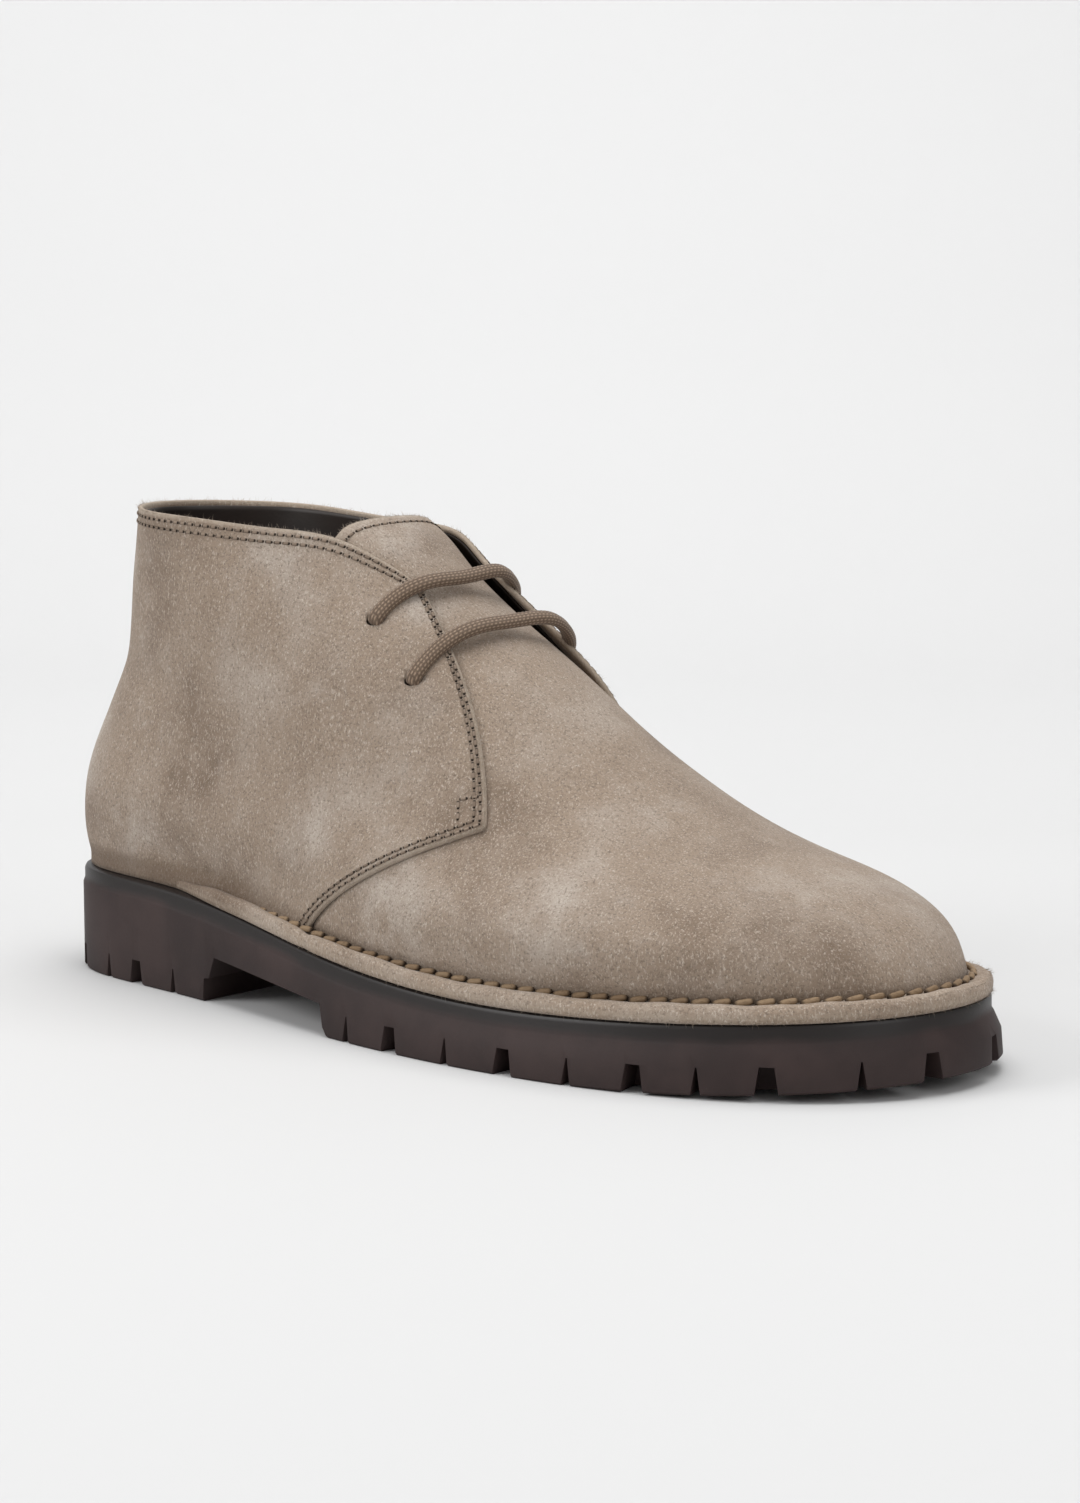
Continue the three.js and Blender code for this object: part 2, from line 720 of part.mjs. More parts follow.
function insole() {
  const inset = upperWall + seatGap;
  const row = height => Array.from({ length: columns }, (unused, c) => {
    const push = lastNormal(0, c).setZ(0).normalize();
    const spot = lastPoint(0, c).addScaledVector(push, -inset);
    return spot.setZ(soleTop(spot.x) + seatGap + height);
  });
  return loft([row(0), row(insoleThickness)]);
}

function material(colour, roughness) {
  return new THREE.MeshStandardMaterial({ color: colour, roughness, metalness: 0 });
}

const suede = material(0x8d7d6d, 0.95);
const rubber = material(0x3a2c29, 0.55);
const leatherboard = material(0x3c2d26, 0.8);
const braid = material(0x6b5a4b, 0.85);

const boot = new THREE.Group();

function add(name, solid, finish) {
  const mesh = new THREE.Mesh(geometryFrom(solid), finish);
  mesh.name = name;
  boot.add(mesh);
}

add('outsole', outsole(), rubber);
add('upper', upper(), suede);
add('tongue', tongueSolid(0), suede);
add('insole', insole(), leatherboard);
add('lace', lace(), braid);

const box = new THREE.Box3().setFromObject(boot);
const middle = box.getCenter(new THREE.Vector3());
boot.position.set(-middle.x, -middle.y, -box.min.z);

export default boot;
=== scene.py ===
# %% [markdown]
# # A suede chukka boot on a lugged rubber sole
#
# This lesson dresses one right boot. The frame from CAD gives its place and size. Each piece is
# drawn again here with finer rows, on the same sizes: the sole, the vamp with its tongue, the two
# quarters with their lining, the turned-out edge, the thread and the lace.
#
# Lengths are millimetres until a mesh is made. X runs from the back of the heel to the toe, Y to
# the wearer's left, which is the inner side of a right boot, and Z up from the ground.

# %% Frame
import math
import bmesh
import bpy
import numpy as np
from mathutils import Matrix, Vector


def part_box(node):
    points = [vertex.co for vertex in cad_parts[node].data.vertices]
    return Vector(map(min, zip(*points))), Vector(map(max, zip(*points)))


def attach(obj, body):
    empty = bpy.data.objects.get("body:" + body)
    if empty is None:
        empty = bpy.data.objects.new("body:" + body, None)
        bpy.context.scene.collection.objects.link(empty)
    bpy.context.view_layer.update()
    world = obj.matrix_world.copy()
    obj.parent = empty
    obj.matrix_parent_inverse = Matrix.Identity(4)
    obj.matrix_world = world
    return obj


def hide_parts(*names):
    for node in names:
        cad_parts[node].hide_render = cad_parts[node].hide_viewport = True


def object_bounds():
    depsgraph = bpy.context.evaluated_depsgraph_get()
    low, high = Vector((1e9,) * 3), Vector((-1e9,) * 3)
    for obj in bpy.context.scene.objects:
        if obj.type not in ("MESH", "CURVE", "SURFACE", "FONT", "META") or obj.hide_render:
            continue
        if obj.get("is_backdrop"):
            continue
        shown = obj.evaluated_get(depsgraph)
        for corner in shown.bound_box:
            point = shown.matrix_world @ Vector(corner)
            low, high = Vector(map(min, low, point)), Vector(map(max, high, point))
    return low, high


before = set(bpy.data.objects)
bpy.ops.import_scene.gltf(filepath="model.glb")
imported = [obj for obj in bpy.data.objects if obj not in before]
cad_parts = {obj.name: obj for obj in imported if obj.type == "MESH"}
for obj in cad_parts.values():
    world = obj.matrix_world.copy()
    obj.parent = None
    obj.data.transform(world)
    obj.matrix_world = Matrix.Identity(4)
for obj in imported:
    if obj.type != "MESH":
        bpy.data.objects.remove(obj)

bounds_at_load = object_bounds()
MM = 0.001
scene = bpy.context.scene
print("nodes of the frame:", sorted(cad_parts))

# %% [markdown]
# ## Curves
# A natural cubic spline runs smoothly through a few knots. Every outline of the boot is such a
# spline, so the tables below stay short.

# %% Splines and steps
def natural_cubic(knots, values, x):
    """Spline through the knots, which lie along the last axis, read at x."""
    x = np.asarray(x, float)
    knots = np.broadcast_to(np.asarray(knots, float), x.shape + np.shape(values)[-1:])
    values = np.broadcast_to(np.asarray(values, float), knots.shape)
    span = np.diff(knots)
    slope = np.diff(values) / span
    inner = knots.shape[-1] - 2
    system = np.zeros(x.shape + (inner, inner))
    for i in range(inner):
        system[..., i, i] = 2 * (span[..., i] + span[..., i + 1])
        if i + 1 < inner:
            system[..., i, i + 1] = system[..., i + 1, i] = span[..., i + 1]
    bend = np.zeros(knots.shape)
    bend[..., 1:-1] = np.linalg.solve(system, 6 * np.diff(slope)[..., None])[..., 0]
    cell = np.clip((x[..., None] > knots[..., 1:-1]).sum(-1), 0, inner)[..., None]

    def at(table, k):
        return np.take_along_axis(table, k, -1)[..., 0]

    step = at(span, cell)
    b = (x - at(knots, cell)) / step
    a = 1 - b
    curl = (a ** 3 - a) * at(bend, cell) + (b ** 3 - b) * at(bend, cell + 1)
    return a * at(values, cell) + b * at(values, cell + 1) + curl * step ** 2 / 6


def smoothstep(low, high, x):
    t = np.clip((x - low) / (high - low), 0, 1)
    return t * t * (3 - 2 * t)


def bisect(low, high, test):
    """Where test turns from negative to positive, for many places at once."""
    for _ in range(36):
        middle = (low + high) / 2
        below = test(middle) < 0
        low = np.where(below, middle, low)
        high = np.where(below, high, middle)
    return (low + high) / 2


def walk(points):
    """Distance walked along a line of points, at each of them."""
    return np.append(0, np.cumsum(np.linalg.norm(np.diff(points, axis=0), axis=1)))


def read_at(places, walked, table):
    """Reads a table with a row for each point of a line at places along it."""
    return np.stack([np.interp(places, walked, column) for column in np.transpose(table)], -1)


print("a spline through 0, 1, 0 reads", float(natural_cubic([0, 1, 2], [0, 1, 0], 0.5)), "at 0.5")

# %% [markdown]
# ## Sizes
# The driving sizes are those of a men's EU 43. The sole is wider on its outer side at the waist.

# %% Sizes of the sole
SOLE_LENGTH = 305.0
BALL_WIDTH, WAIST_WIDTH, HEEL_WIDTH = 112.0, 90.0, 73.0
HEEL_END_RADIUS, TOE_END_RADIUS = 35.0, 46.0
HEEL_THICKNESS, WAIST_THICKNESS, BALL_THICKNESS = 30.4, 20.3, 16.5
TOE_SPRING, TOE_THICKNESS = 4.3, 16.4
SOLE_FLARE = 2.6
COLLAR_HEIGHT = 136.5
COLUMNS = 56
HALF = COLUMNS // 2
SOLE_STATIONS = np.array([0.12, 0.42, 0.70])
SOLE_WIDTHS = np.array([HEEL_WIDTH, WAIST_WIDTH, BALL_WIDTH])
OUTER_SHARES = np.array([0.49, 0.617, 0.571])
FLARE_SHARES = np.array([0, 0.6, 1])


def round_ends(share):
    return 2 * np.sqrt(np.maximum(0, share * (1 - share)))


def fullness(stations, widths, back_radius, front_radius, length, share):
    """Half-width of a footprint, whose ends are round."""
    shape = share.shape
    knots = np.concatenate([np.zeros(shape + (1,)), np.broadcast_to(stations, shape + (3,)),
                            np.ones(shape + (1,))], -1)
    values = np.concatenate([
        np.broadcast_to(np.sqrt(back_radius * length / 2), shape)[..., None],
        np.broadcast_to(widths / round_ends(stations), shape + (3,)),
        np.broadcast_to(np.sqrt(front_radius * length / 2), shape)[..., None],
    ], -1)
    return round_ends(share) * natural_cubic(knots, values, share)


def column_share(column):
    """Share of the length at a column. Columns stand closer together at the two ends."""
    return (1 - np.cos(2 * math.pi * np.asarray(column, float) / COLUMNS)) / 2


def column_side(column):
    return np.where(np.sin(2 * math.pi * np.asarray(column, float) / COLUMNS) >= 0, -1, 1)


def sole_sizes(flare, insets):
    drawn = np.asarray(insets, float) + flare * FLARE_SHARES
    return {
        "back": drawn[0], "front": SOLE_LENGTH - drawn[2],
        "outer": SOLE_WIDTHS * OUTER_SHARES - drawn,
        "inner": SOLE_WIDTHS * (1 - OUTER_SHARES) - drawn,
        "back_radius": HEEL_END_RADIUS - drawn[0], "front_radius": TOE_END_RADIUS - drawn[2],
    }


def sole_outline(flare, inset, column):
    """X and Y of the sole's outline at the columns."""
    sizes = sole_sizes(flare, [inset] * 3)
    share, side = column_share(column), column_side(column)
    widths = np.where(side[..., None] < 0, sizes["outer"], sizes["inner"])
    length = sizes["front"] - sizes["back"]
    half = fullness(SOLE_STATIONS, widths, sizes["back_radius"], sizes["front_radius"], length,
                    share)
    return np.stack([sizes["back"] + length * share, side * half], -1)


def sole_top(x):
    shares = np.array([0, 0.22, 0.45, 0.62, 0.75, 1])
    heights = [HEEL_THICKNESS, 0.95 * HEEL_THICKNESS, WAIST_THICKNESS, BALL_THICKNESS,
               1.03 * BALL_THICKNESS, TOE_SPRING + TOE_THICKNESS]
    return natural_cubic(shares * SOLE_LENGTH, heights, x)


def ground_height(x):
    start = 0.70 * SOLE_LENGTH
    return TOE_SPRING * (np.maximum(0, x - start) / (SOLE_LENGTH - start)) ** 2


sole_low = np.array(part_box("outsole")[0]) / MM
ORIGIN = np.array([
    -sole_low[0],
    sole_outline(0, 0, np.linspace(0, HALF, 400))[:, 1].min() - sole_low[1],
    0.0,
])
print("the frame's origin lies at", ORIGIN.round(1), "mm from the back of the heel")

# %% [markdown]
# ## The last
# Level loops give the form inside the upper, from the sole's top edge up to the tongue. A place
# on it has two numbers, a level and a column. Lengths in the table are shares: of the sole's
# length for places along the boot, of the collar height for heights, of the ball for widths.

# %% Level loops
LAST_STATIONS = np.array([0.15, 0.42, 0.68])
LAST_LOOPS = [
    # level, back, height there, front, height there, sag,
    # three outer widths, three inner widths, back end radius, front end radius
    (0.14, 0.009, 0.317, 0.946, 0.265, -0.040,
     0.299, 0.422, 0.521, 0.299, 0.281, 0.386, 0.115, 0.144),
    (0.30, 0.010, 0.424, 0.876, 0.344, -0.028,
     0.309, 0.392, 0.449, 0.309, 0.290, 0.376, 0.100, 0.113),
    (0.48, 0.034, 0.561, 0.734, 0.457, -0.016,
     0.268, 0.343, 0.356, 0.268, 0.287, 0.331, 0.083, 0.080),
    (0.66, 0.060, 0.712, 0.573, 0.689, -0.004,
     0.238, 0.306, 0.301, 0.238, 0.276, 0.287, 0.072, 0.063),
    (0.83, 0.067, 0.856, 0.459, 0.855, 0.005,
     0.221, 0.286, 0.258, 0.221, 0.271, 0.264, 0.068, 0.059),
    (1.00, 0.077, 1.003, 0.411, 0.940, 0.008,
     0.221, 0.271, 0.224, 0.221, 0.263, 0.255, 0.063, 0.066),
    (1.15, 0.082, 1.110, 0.357, 1.015, 0.008,
     0.215, 0.262, 0.215, 0.215, 0.258, 0.240, 0.062, 0.062),
]
TURN_WIDTH, TURN_THICKNESS, HEEL_SEAT_INSET, SEAT_GAP = 6.4, 3.6, 3.8, 0.3
TURN_RISE = SEAT_GAP + TURN_THICKNESS
UPPER_WALL, QUARTER_STEP, FACING_LIFT = 1.7, 1.3, 3.0
DROP_PER_LEVEL = 40

seat = sole_sizes(SOLE_FLARE, [HEEL_SEAT_INSET, 0.75 * TURN_WIDTH, TURN_WIDTH])
seat_row = np.array([
    seat["back"], float(sole_top(0.0)) + TURN_RISE,
    seat["front"], float(sole_top(SOLE_LENGTH)) + TURN_RISE, 0,
    *seat["outer"], *seat["inner"], seat["back_radius"], seat["front_radius"], 1,
])
LEVELS = np.array([0] + [row[0] for row in LAST_LOOPS])
SCALE = np.array([SOLE_LENGTH, COLLAR_HEIGHT, SOLE_LENGTH, COLLAR_HEIGHT, COLLAR_HEIGHT]
                 + [BALL_WIDTH] * 6 + [SOLE_LENGTH] * 2 + [0])
LOOP_SIZES = np.array([seat_row] + [np.array(row[1:] + (0,)) * SCALE for row in LAST_LOOPS]).T


def last_point(level, column):
    """Point of the last. Below level 0 it goes straight down, 4 mm for each 0.1."""
    level, column = np.broadcast_arrays(np.asarray(level, float), np.asarray(column, float))
    held = np.maximum(level, 0)
    sizes = natural_cubic(LEVELS, LOOP_SIZES, np.repeat(held[..., None], len(LOOP_SIZES), -1))
    back, back_z, front, front_z, sag = np.moveaxis(sizes[..., :5], -1, 0)
    share, side = column_share(column), column_side(column)
    blend = smoothstep(0, LAST_LOOPS[0][0], held)[..., None]
    stations = SOLE_STATIONS + (LAST_STATIONS - SOLE_STATIONS) * blend
    widths = np.where(side[..., None] < 0, sizes[..., 5:8], sizes[..., 8:11])
    half = fullness(stations, widths, sizes[..., 11], sizes[..., 12], front - back, share)
    x = back + (front - back) * share
    seat_chord = sole_top(0.0) + (sole_top(SOLE_LENGTH) - sole_top(0.0)) * share
    z = back_z + (front_z - back_z) * share + sag * np.sin(math.pi * share)
    z = z + sizes[..., 13] * (sole_top(x) - seat_chord) + DROP_PER_LEVEL * np.minimum(level, 0)
    return np.stack([x, side * half, z], -1)


def unit(v):
    return v / np.maximum(np.linalg.norm(v, axis=-1, keepdims=True), 1e-9)


def last_normal(level, column):
    level = np.asarray(level, float)
    up = last_point(level + 0.015, column) - last_point(level - 0.015, column)
    along = last_point(level, column + 0.2) - last_point(level, column - 0.2)
    return unit(np.cross(along, up))


print("top of the toe over the sole:", last_point(0.3, float(HALF)).round(1))

# %% [markdown]
# ## Lines of the panels
# The quarter's edges and the tongue's top are lines in the side view. Each is found again on the
# last by moving along a row until the side view meets the line.

# %% Panel lines and patches
def side_line(points):
    """X in mm as a function of Z in mm, through points given as shares, lowest first."""
    x, z = np.array(points).T
    x, z = x * SOLE_LENGTH, z * COLLAR_HEIGHT
    return lambda height: natural_cubic(z, x, height)


FACING = [(0.590, 0.427), (0.563, 0.547), (0.524, 0.672), (0.478, 0.780), (0.442, 0.853)]
TOPLINE = np.array([(0.05, 1.003), (0.09, 1.0), (0.217, 0.985), (0.295, 0.969), (0.36, 0.951),
                    (0.403, 0.907), (0.442, 0.853)])
HEM = np.array([(0.36, 0.10), (0.375, 0.21), (0.42, 0.286), (0.482, 0.364), (0.532, 0.427),
                (0.53, 0.50), (0.515, 0.56), (0.480, 0.672), (0.437, 0.780), (0.400, 0.853),
                (0.357, 0.90)])
quarter_foot = side_line([(0.400, 0.10), (0.412, 0.21), (0.457, 0.286), (0.524, 0.364), FACING[0]])
facing = side_line(FACING)
tongue_top = side_line([(0.357, 0.90), (0.3535, 0.93), (0.359, 0.968), (0.378, 1.0), (0.395, 1.01)])
CORNER_Z, FACING_TOP_Z = FACING[0][1] * COLLAR_HEIGHT, FACING[-1][1] * COLLAR_HEIGHT
HEM_TOP_Z = HEM[-1, 1] * COLLAR_HEIGHT
FOOT_LEVEL = -0.09
FOOT = np.linspace(FOOT_LEVEL, 0, 4)[:-1]
LINE_POINTS = 320


def topline(x):
    return natural_cubic(TOPLINE[:, 0] * SOLE_LENGTH, TOPLINE[:, 1] * COLLAR_HEIGHT, x)


def front_line(z):
    return np.where(z >= CORNER_Z, facing(z), quarter_foot(z))


def hem_line(z):
    return np.interp(z, HEM[:, 1] * COLLAR_HEIGHT, HEM[:, 0] * SOLE_LENGTH)


def follow(line, top_z):
    """Levels and columns of a line up to a height, on the outer side, from the foot upwards."""
    levels = np.linspace(0, 1.1, LINE_POINTS)

    def ahead(column):
        spot = last_point(levels, column)
        return spot[:, 0] - line(spot[:, 2])

    columns = bisect(np.full(LINE_POINTS, 4.0), np.full(LINE_POINTS, HALF - 0.05), ahead)
    heights = last_point(levels, columns)[:, 2]
    end = np.interp(top_z, heights, levels)
    kept = np.append(levels[levels < end - 1e-6], end)
    return kept, np.interp(kept, levels, columns), heights


def resample(level, column, rows):
    """The same line of the last with points at equal steps of its length."""
    walked = walk(last_point(level, column))
    at = np.linspace(0, 1, rows) * walked[-1]
    return np.interp(at, walked, level), np.interp(at, walked, column)


def coons(bottom, top, left, right):
    """Fills four edges, each an array of level and column, with a smooth grid."""
    u = np.linspace(0, 1, len(bottom))[:, None, None]
    v = np.linspace(0, 1, len(left))[None, :, None]
    ruled = (1 - v) * bottom[:, None] + v * top[:, None] + (1 - u) * left[None] + u * right[None]
    corners = ((1 - u) * (1 - v) * bottom[0] + u * (1 - v) * bottom[-1]
               + (1 - u) * v * top[0] + u * v * top[-1])
    return ruled - corners


def edge(level, column):
    return np.stack(np.broadcast_arrays(level, column), -1).astype(float)


ACROSS, LOW_ROWS, HIGH_ROWS = 96, 34, 52
VAMP_ROWS, VAMP_ACROSS = 110, 221


def with_foot(level, column):
    """An edge that goes on straight down below level 0."""
    return edge(np.append(FOOT, level), np.append(FOOT * 0 + column[0], column))


def quarter_patch():
    level, column, heights = follow(front_line, FACING_TOP_Z)
    corner = np.interp(CORNER_Z, heights[:len(level)], level)
    corner_column = np.interp(corner, level, column)
    low = level <= corner
    lower = resample(np.append(level[low], corner), np.append(column[low], corner_column), LOW_ROWS)
    upper = resample(np.append(corner, level[~low]), np.append(corner_column, column[~low]),
                     HIGH_ROWS)
    right = with_foot(np.append(lower[0], upper[0][1:]), np.append(lower[1], upper[1][1:]))
    top_columns = np.linspace(0, right[-1, 1], ACROSS)

    def above(level):
        spot = last_point(level, top_columns)
        return spot[:, 2] - topline(spot[:, 0])

    top = edge(bisect(np.full(ACROSS, 0.6), np.full(ACROSS, 1.12), above), top_columns)
    top[-1] = right[-1]
    bottom = edge(FOOT_LEVEL, np.linspace(0, column[0], ACROSS))
    left_shares = (right[:, 0] - FOOT_LEVEL) / (right[-1, 0] - FOOT_LEVEL)
    left = edge(FOOT_LEVEL + left_shares * (top[0, 0] - FOOT_LEVEL), 0.0)
    return coons(bottom, top, left, right)


def vamp_patch():
    level, column, _ = follow(hem_line, HEM_TOP_Z)
    left = with_foot(*resample(level, column, VAMP_ROWS))
    right = left * [1, -1] + [0, COLUMNS]
    bottom = edge(FOOT_LEVEL, np.linspace(column[0], COLUMNS - column[0], VAMP_ACROSS))
    top_columns = np.linspace(left[-1, 1], right[-1, 1], VAMP_ACROSS)

    def behind(level):
        spot = last_point(level, top_columns)
        return tongue_top(spot[:, 2]) - spot[:, 0]

    top = edge(bisect(np.full(VAMP_ACROSS, 0.75), np.full(VAMP_ACROSS, 1.2), behind), top_columns)
    top[0], top[-1] = left[-1], right[-1]
    return coons(bottom, top, left, right)


QUARTER = quarter_patch()
VAMP = vamp_patch()
print("quarter grid", QUARTER.shape[:2], "vamp grid", VAMP.shape[:2])

# %% [markdown]
# ## Soft folds
# Suede gives way at the ankle and over the ball. Each fold is a shallow trough placed in the side view,
# with its two ends, its width and its depth.

# %% Folds
FOLD_STRENGTH, WAVE_DEPTH = 1.35, 0.30
FOLDS = [
    # side, x and z of one end, x and z of the other, width, depth; a negative depth is a ridge
    (-1, 24, 92, 62, 84, 6.0, 0.55),
    (-1, 22, 80, 70, 74, 7.0, -0.45),
    (-1, 30, 66, 84, 60, 8.0, 0.50),
    (-1, 96, 118, 112, 92, 7.0, 0.45),
    (-1, 108, 92, 128, 62, 8.0, -0.40),
    (-1, 128, 84, 146, 60, 7.0, 0.40),
    (-1, 60, 112, 92, 104, 8.0, -0.35),
    (-1, 92, 46, 118, 36, 8.0, 0.40),
    (-1, 176, 60, 208, 40, 9.0, 0.45),
    (-1, 194, 62, 232, 36, 8.0, -0.40),
    (1, 24, 90, 66, 82, 7.0, 0.60),
    (1, 30, 70, 90, 62, 8.0, -0.45),
    (1, 100, 96, 126, 60, 8.0, 0.45),
    (1, 168, 62, 214, 42, 9.0, 0.50),
    (1, 190, 64, 240, 38, 9.0, -0.40),
]


def from_segment(spot, start, end):
    """In the side view, the distance from a segment and the share along it."""
    span = end - start
    away = spot[..., [0, 2]] - start
    along = np.clip((away @ span) / (span @ span), 0, 1)
    return np.linalg.norm(away - along[..., None] * span, axis=-1), along


def fold_depth(spot):
    """How far the suede sinks in at each spot."""
    total = np.zeros(spot.shape[:-1])
    for side, x0, z0, x1, z1, width, depth in FOLDS:
        miss, along = from_segment(spot, np.array([x0, z0]), np.array([x1, z1]))
        ends = smoothstep(0, 0.25, along) * (1 - smoothstep(0.75, 1, along))
        here = smoothstep(0, 12, side * spot[..., 1])
        total += depth * np.exp(-(miss / width) ** 2) * (0.35 + 0.65 * ends) * here
    x, z = spot[..., 0], spot[..., 2]
    waves = np.sin(0.081 * x + 0.057 * z) * np.sin(0.043 * x - 0.093 * z + 1.3)
    return FOLD_STRENGTH * total + WAVE_DEPTH * waves


def inner_lift(spot):
    """The inner side's facing stands off the tongue, most of all at its edge."""
    line = np.array([TOPLINE[-2], *FACING[::-1]]) * [SOLE_LENGTH, COLLAR_HEIGHT]
    away = np.minimum.reduce([from_segment(spot, *ends)[0] for ends in zip(line, line[1:])])
    near = 1 - smoothstep(0.03 * COLLAR_HEIGHT, 0.2 * COLLAR_HEIGHT, away)
    high = smoothstep(0.5 * COLLAR_HEIGHT, 0.68 * COLLAR_HEIGHT, spot[..., 2])
    return FACING_LIFT * near * high * (spot[..., 1] > 0)


def on_last(patch, offset):
    """Points over a patch at an offset, with the folds."""
    level, column = patch[..., 0], patch[..., 1]
    spot, normal = last_point(level, column), last_normal(level, column)
    return spot + normal * (offset - fold_depth(spot))[..., None], normal


print("folds placed:", len(FOLDS))

# %% [markdown]
# ## Meshes
# One helper turns points in millimetres into a mesh in the frame's metres. A leather panel is a
# closed shell: an outer grid, an inner grid and a rounded cut edge between them.

# %% Mesh helpers
EDGE_BULGE = 0.22


def add_values(mesh, name, values):
    """One number for each point of a mesh, for its material to read."""
    mesh.attributes.new(name, "FLOAT", "POINT").data.foreach_set("value", np.ravel(values))


def mesh_piece(name, points, faces, attributes=(), uvs=None):
    mesh = bpy.data.meshes.new(name)
    mesh.from_pydata(((np.asarray(points) - ORIGIN) * MM).tolist(), [], faces)
    for key, values in dict(attributes).items():
        add_values(mesh, key, values)
    if uvs is not None:
        layer = mesh.uv_layers.new(name="UVMap")
        corners = np.zeros(len(mesh.loops), int)
        mesh.loops.foreach_get("vertex_index", corners)
        layer.data.foreach_set("uv", np.asarray(uvs)[corners].ravel())
    mesh.polygons.foreach_set("use_smooth", [True] * len(mesh.polygons))
    mesh.update()
    piece = bpy.data.objects.new(name, mesh)
    scene.collection.objects.link(piece)
    return piece


def grid_faces(nu, nv, start=0, flip=False):
    i, j = np.meshgrid(np.arange(nu - 1), np.arange(nv - 1), indexing="ij")
    a = (start + i * nv + j).ravel()
    quads = np.stack([a, a + nv, a + nv + 1, a + 1], -1)
    return (quads[:, ::-1] if flip else quads).tolist()


def ring_faces(rings, sides, start=0):
    """Faces between the neighbouring rings of a tube."""
    i, j = np.meshgrid(np.arange(rings - 1), np.arange(sides), indexing="ij")
    a, n = start + i * sides, (j + 1) % sides
    return np.stack([a + j, a + n, a + sides + n, a + sides + j], -1).reshape(-1, 4).tolist()


def lids(sides, first, last):
    """The two end faces of a tube, whose end rings start at these points."""
    return [list(range(first, first + sides))[::-1], list(range(last, last + sides))]


def repeated(template, number, size):
    """The faces of many equal bodies with this many points each."""
    return [[v + start for v in face] for start in range(0, number * size, size)
            for face in template]


def closed_sweep(name, sections, attributes, uvs=None):
    """Closed tube through a chain of equal rings."""
    count, sides = sections.shape[:2]
    faces = ring_faces(count, sides) + lids(sides, 0, (count - 1) * sides)
    return mesh_piece(name, sections.reshape(-1, 3), faces, attributes, uvs)


def prism(points, faces, shape, place):
    """Adds a straight prism over a flat shape. place turns (u, v, end) into a point."""
    start, count = len(points), len(shape)
    for end in (0, 1):
        points.extend(place(u, v, end) for u, v in shape)
    faces.extend(ring_faces(2, count, start) + lids(count, start, start + count))


def shell(name, outer, inner, attributes):
    """Closed panel between two grids. Its cut edge bulges a little."""
    nu, nv = outer.shape[:2]
    count = nu * nv
    loop = ([(i, 0) for i in range(nu - 1)] + [(nu - 1, j) for j in range(nv - 1)]
            + [(i, nv - 1) for i in range(nu - 1, 0, -1)] + [(0, j) for j in range(nv - 1, 0, -1)])
    a = np.array([i * nv + j for i, j in loop])
    outer, inner = outer.reshape(-1, 3), inner.reshape(-1, 3)
    middle, through = (outer[a] + inner[a]) / 2, outer[a] - inner[a]
    tangent = unit(np.roll(middle, -1, 0) - np.roll(middle, 1, 0))
    bulge = np.linalg.norm(through, axis=1, keepdims=True) * EDGE_BULGE
    points = np.concatenate([outer, inner, middle + np.cross(tangent, unit(through)) * bulge])
    b, d = np.roll(a, -1), 2 * count + np.arange(len(a))
    c = np.roll(d, -1)
    rim = np.array([[a, d, c, b], [d, a + count, b + count, c]]).transpose(2, 0, 1)
    faces = (grid_faces(nu, nv) + grid_faces(nu, nv, count, flip=True)
             + rim.reshape(-1, 4).tolist())
    spread = {key: np.concatenate([v.ravel(), v.ravel(), v.ravel()[a]])
              for key, v in attributes.items()}
    return mesh_piece(name, points, faces, spread)


def edge_distances(points):
    """Distance of a grid's points from each of its four borders, along the grid's lines."""
    far_u, far_v = np.zeros(points.shape[:2]), np.zeros(points.shape[:2])
    far_u[1:] = np.cumsum(np.linalg.norm(np.diff(points, axis=0), axis=-1), 0)
    far_v[:, 1:] = np.cumsum(np.linalg.norm(np.diff(points, axis=1), axis=-1), 1)
    return {"u0": far_u, "u1": far_u[-1:] - far_u, "v0": far_v, "v1": far_v[:, -1:] - far_v}


print("helpers ready")

# %% [markdown]
# ## Quarters, lining, vamp and tongue
# The two quarters are drawn as one piece round the heel. The vamp runs on under them and up as
# the tongue.

# %% Upper panels
EYELETS = [(0.422, 0.797), (0.477, 0.688)]
EYELET_WIDTH, EYELET_HEIGHT, EYELET_SIDES, EYELET_SLANT = 5.75, 3.91, 20, 0.25
CUTTER_REACH = 9.0
QUARTER_INSIDE, LINING_OUTSIDE, LINING_INSIDE = -0.2, -0.26, -1.0


def both_sides(patch):
    """The outer half and its mirror, joined at the heel."""
    return np.concatenate([(patch[::-1] * [1, -1])[:-1], patch])


def raised(patch, offset):
    points, normal = on_last(patch, offset)
    return points + normal * inner_lift(points)[..., None], normal


def raised_spot(level, column, offset):
    """One spot of the raised upper and its normal."""
    points, normals = raised(np.array([[[level, column]]]), offset)
    return points[0, 0], normals[0, 0]


search_level, search_column = np.meshgrid(
    np.linspace(0.36, 1.02, 300), np.linspace(6, HALF - 0.5, 500), indexing="ij")
search_spots = {-1: last_point(search_level, search_column),
                1: last_point(search_level, COLUMNS - search_column)}


def spot_from_side(x, z, side):
    """Level and column of the spot that the side view shows at x and z."""
    spot = search_spots[side]
    best = np.argmin(np.hypot(spot[..., 0] - x, spot[..., 2] - z))
    column = search_column.ravel()[best]
    return search_level.ravel()[best], column if side < 0 else COLUMNS - column


eyelet_spots = {(row, side): spot_from_side(x * SOLE_LENGTH, z * COLLAR_HEIGHT, side)
                for row, (x, z) in enumerate(EYELETS) for side in (-1, 1)}


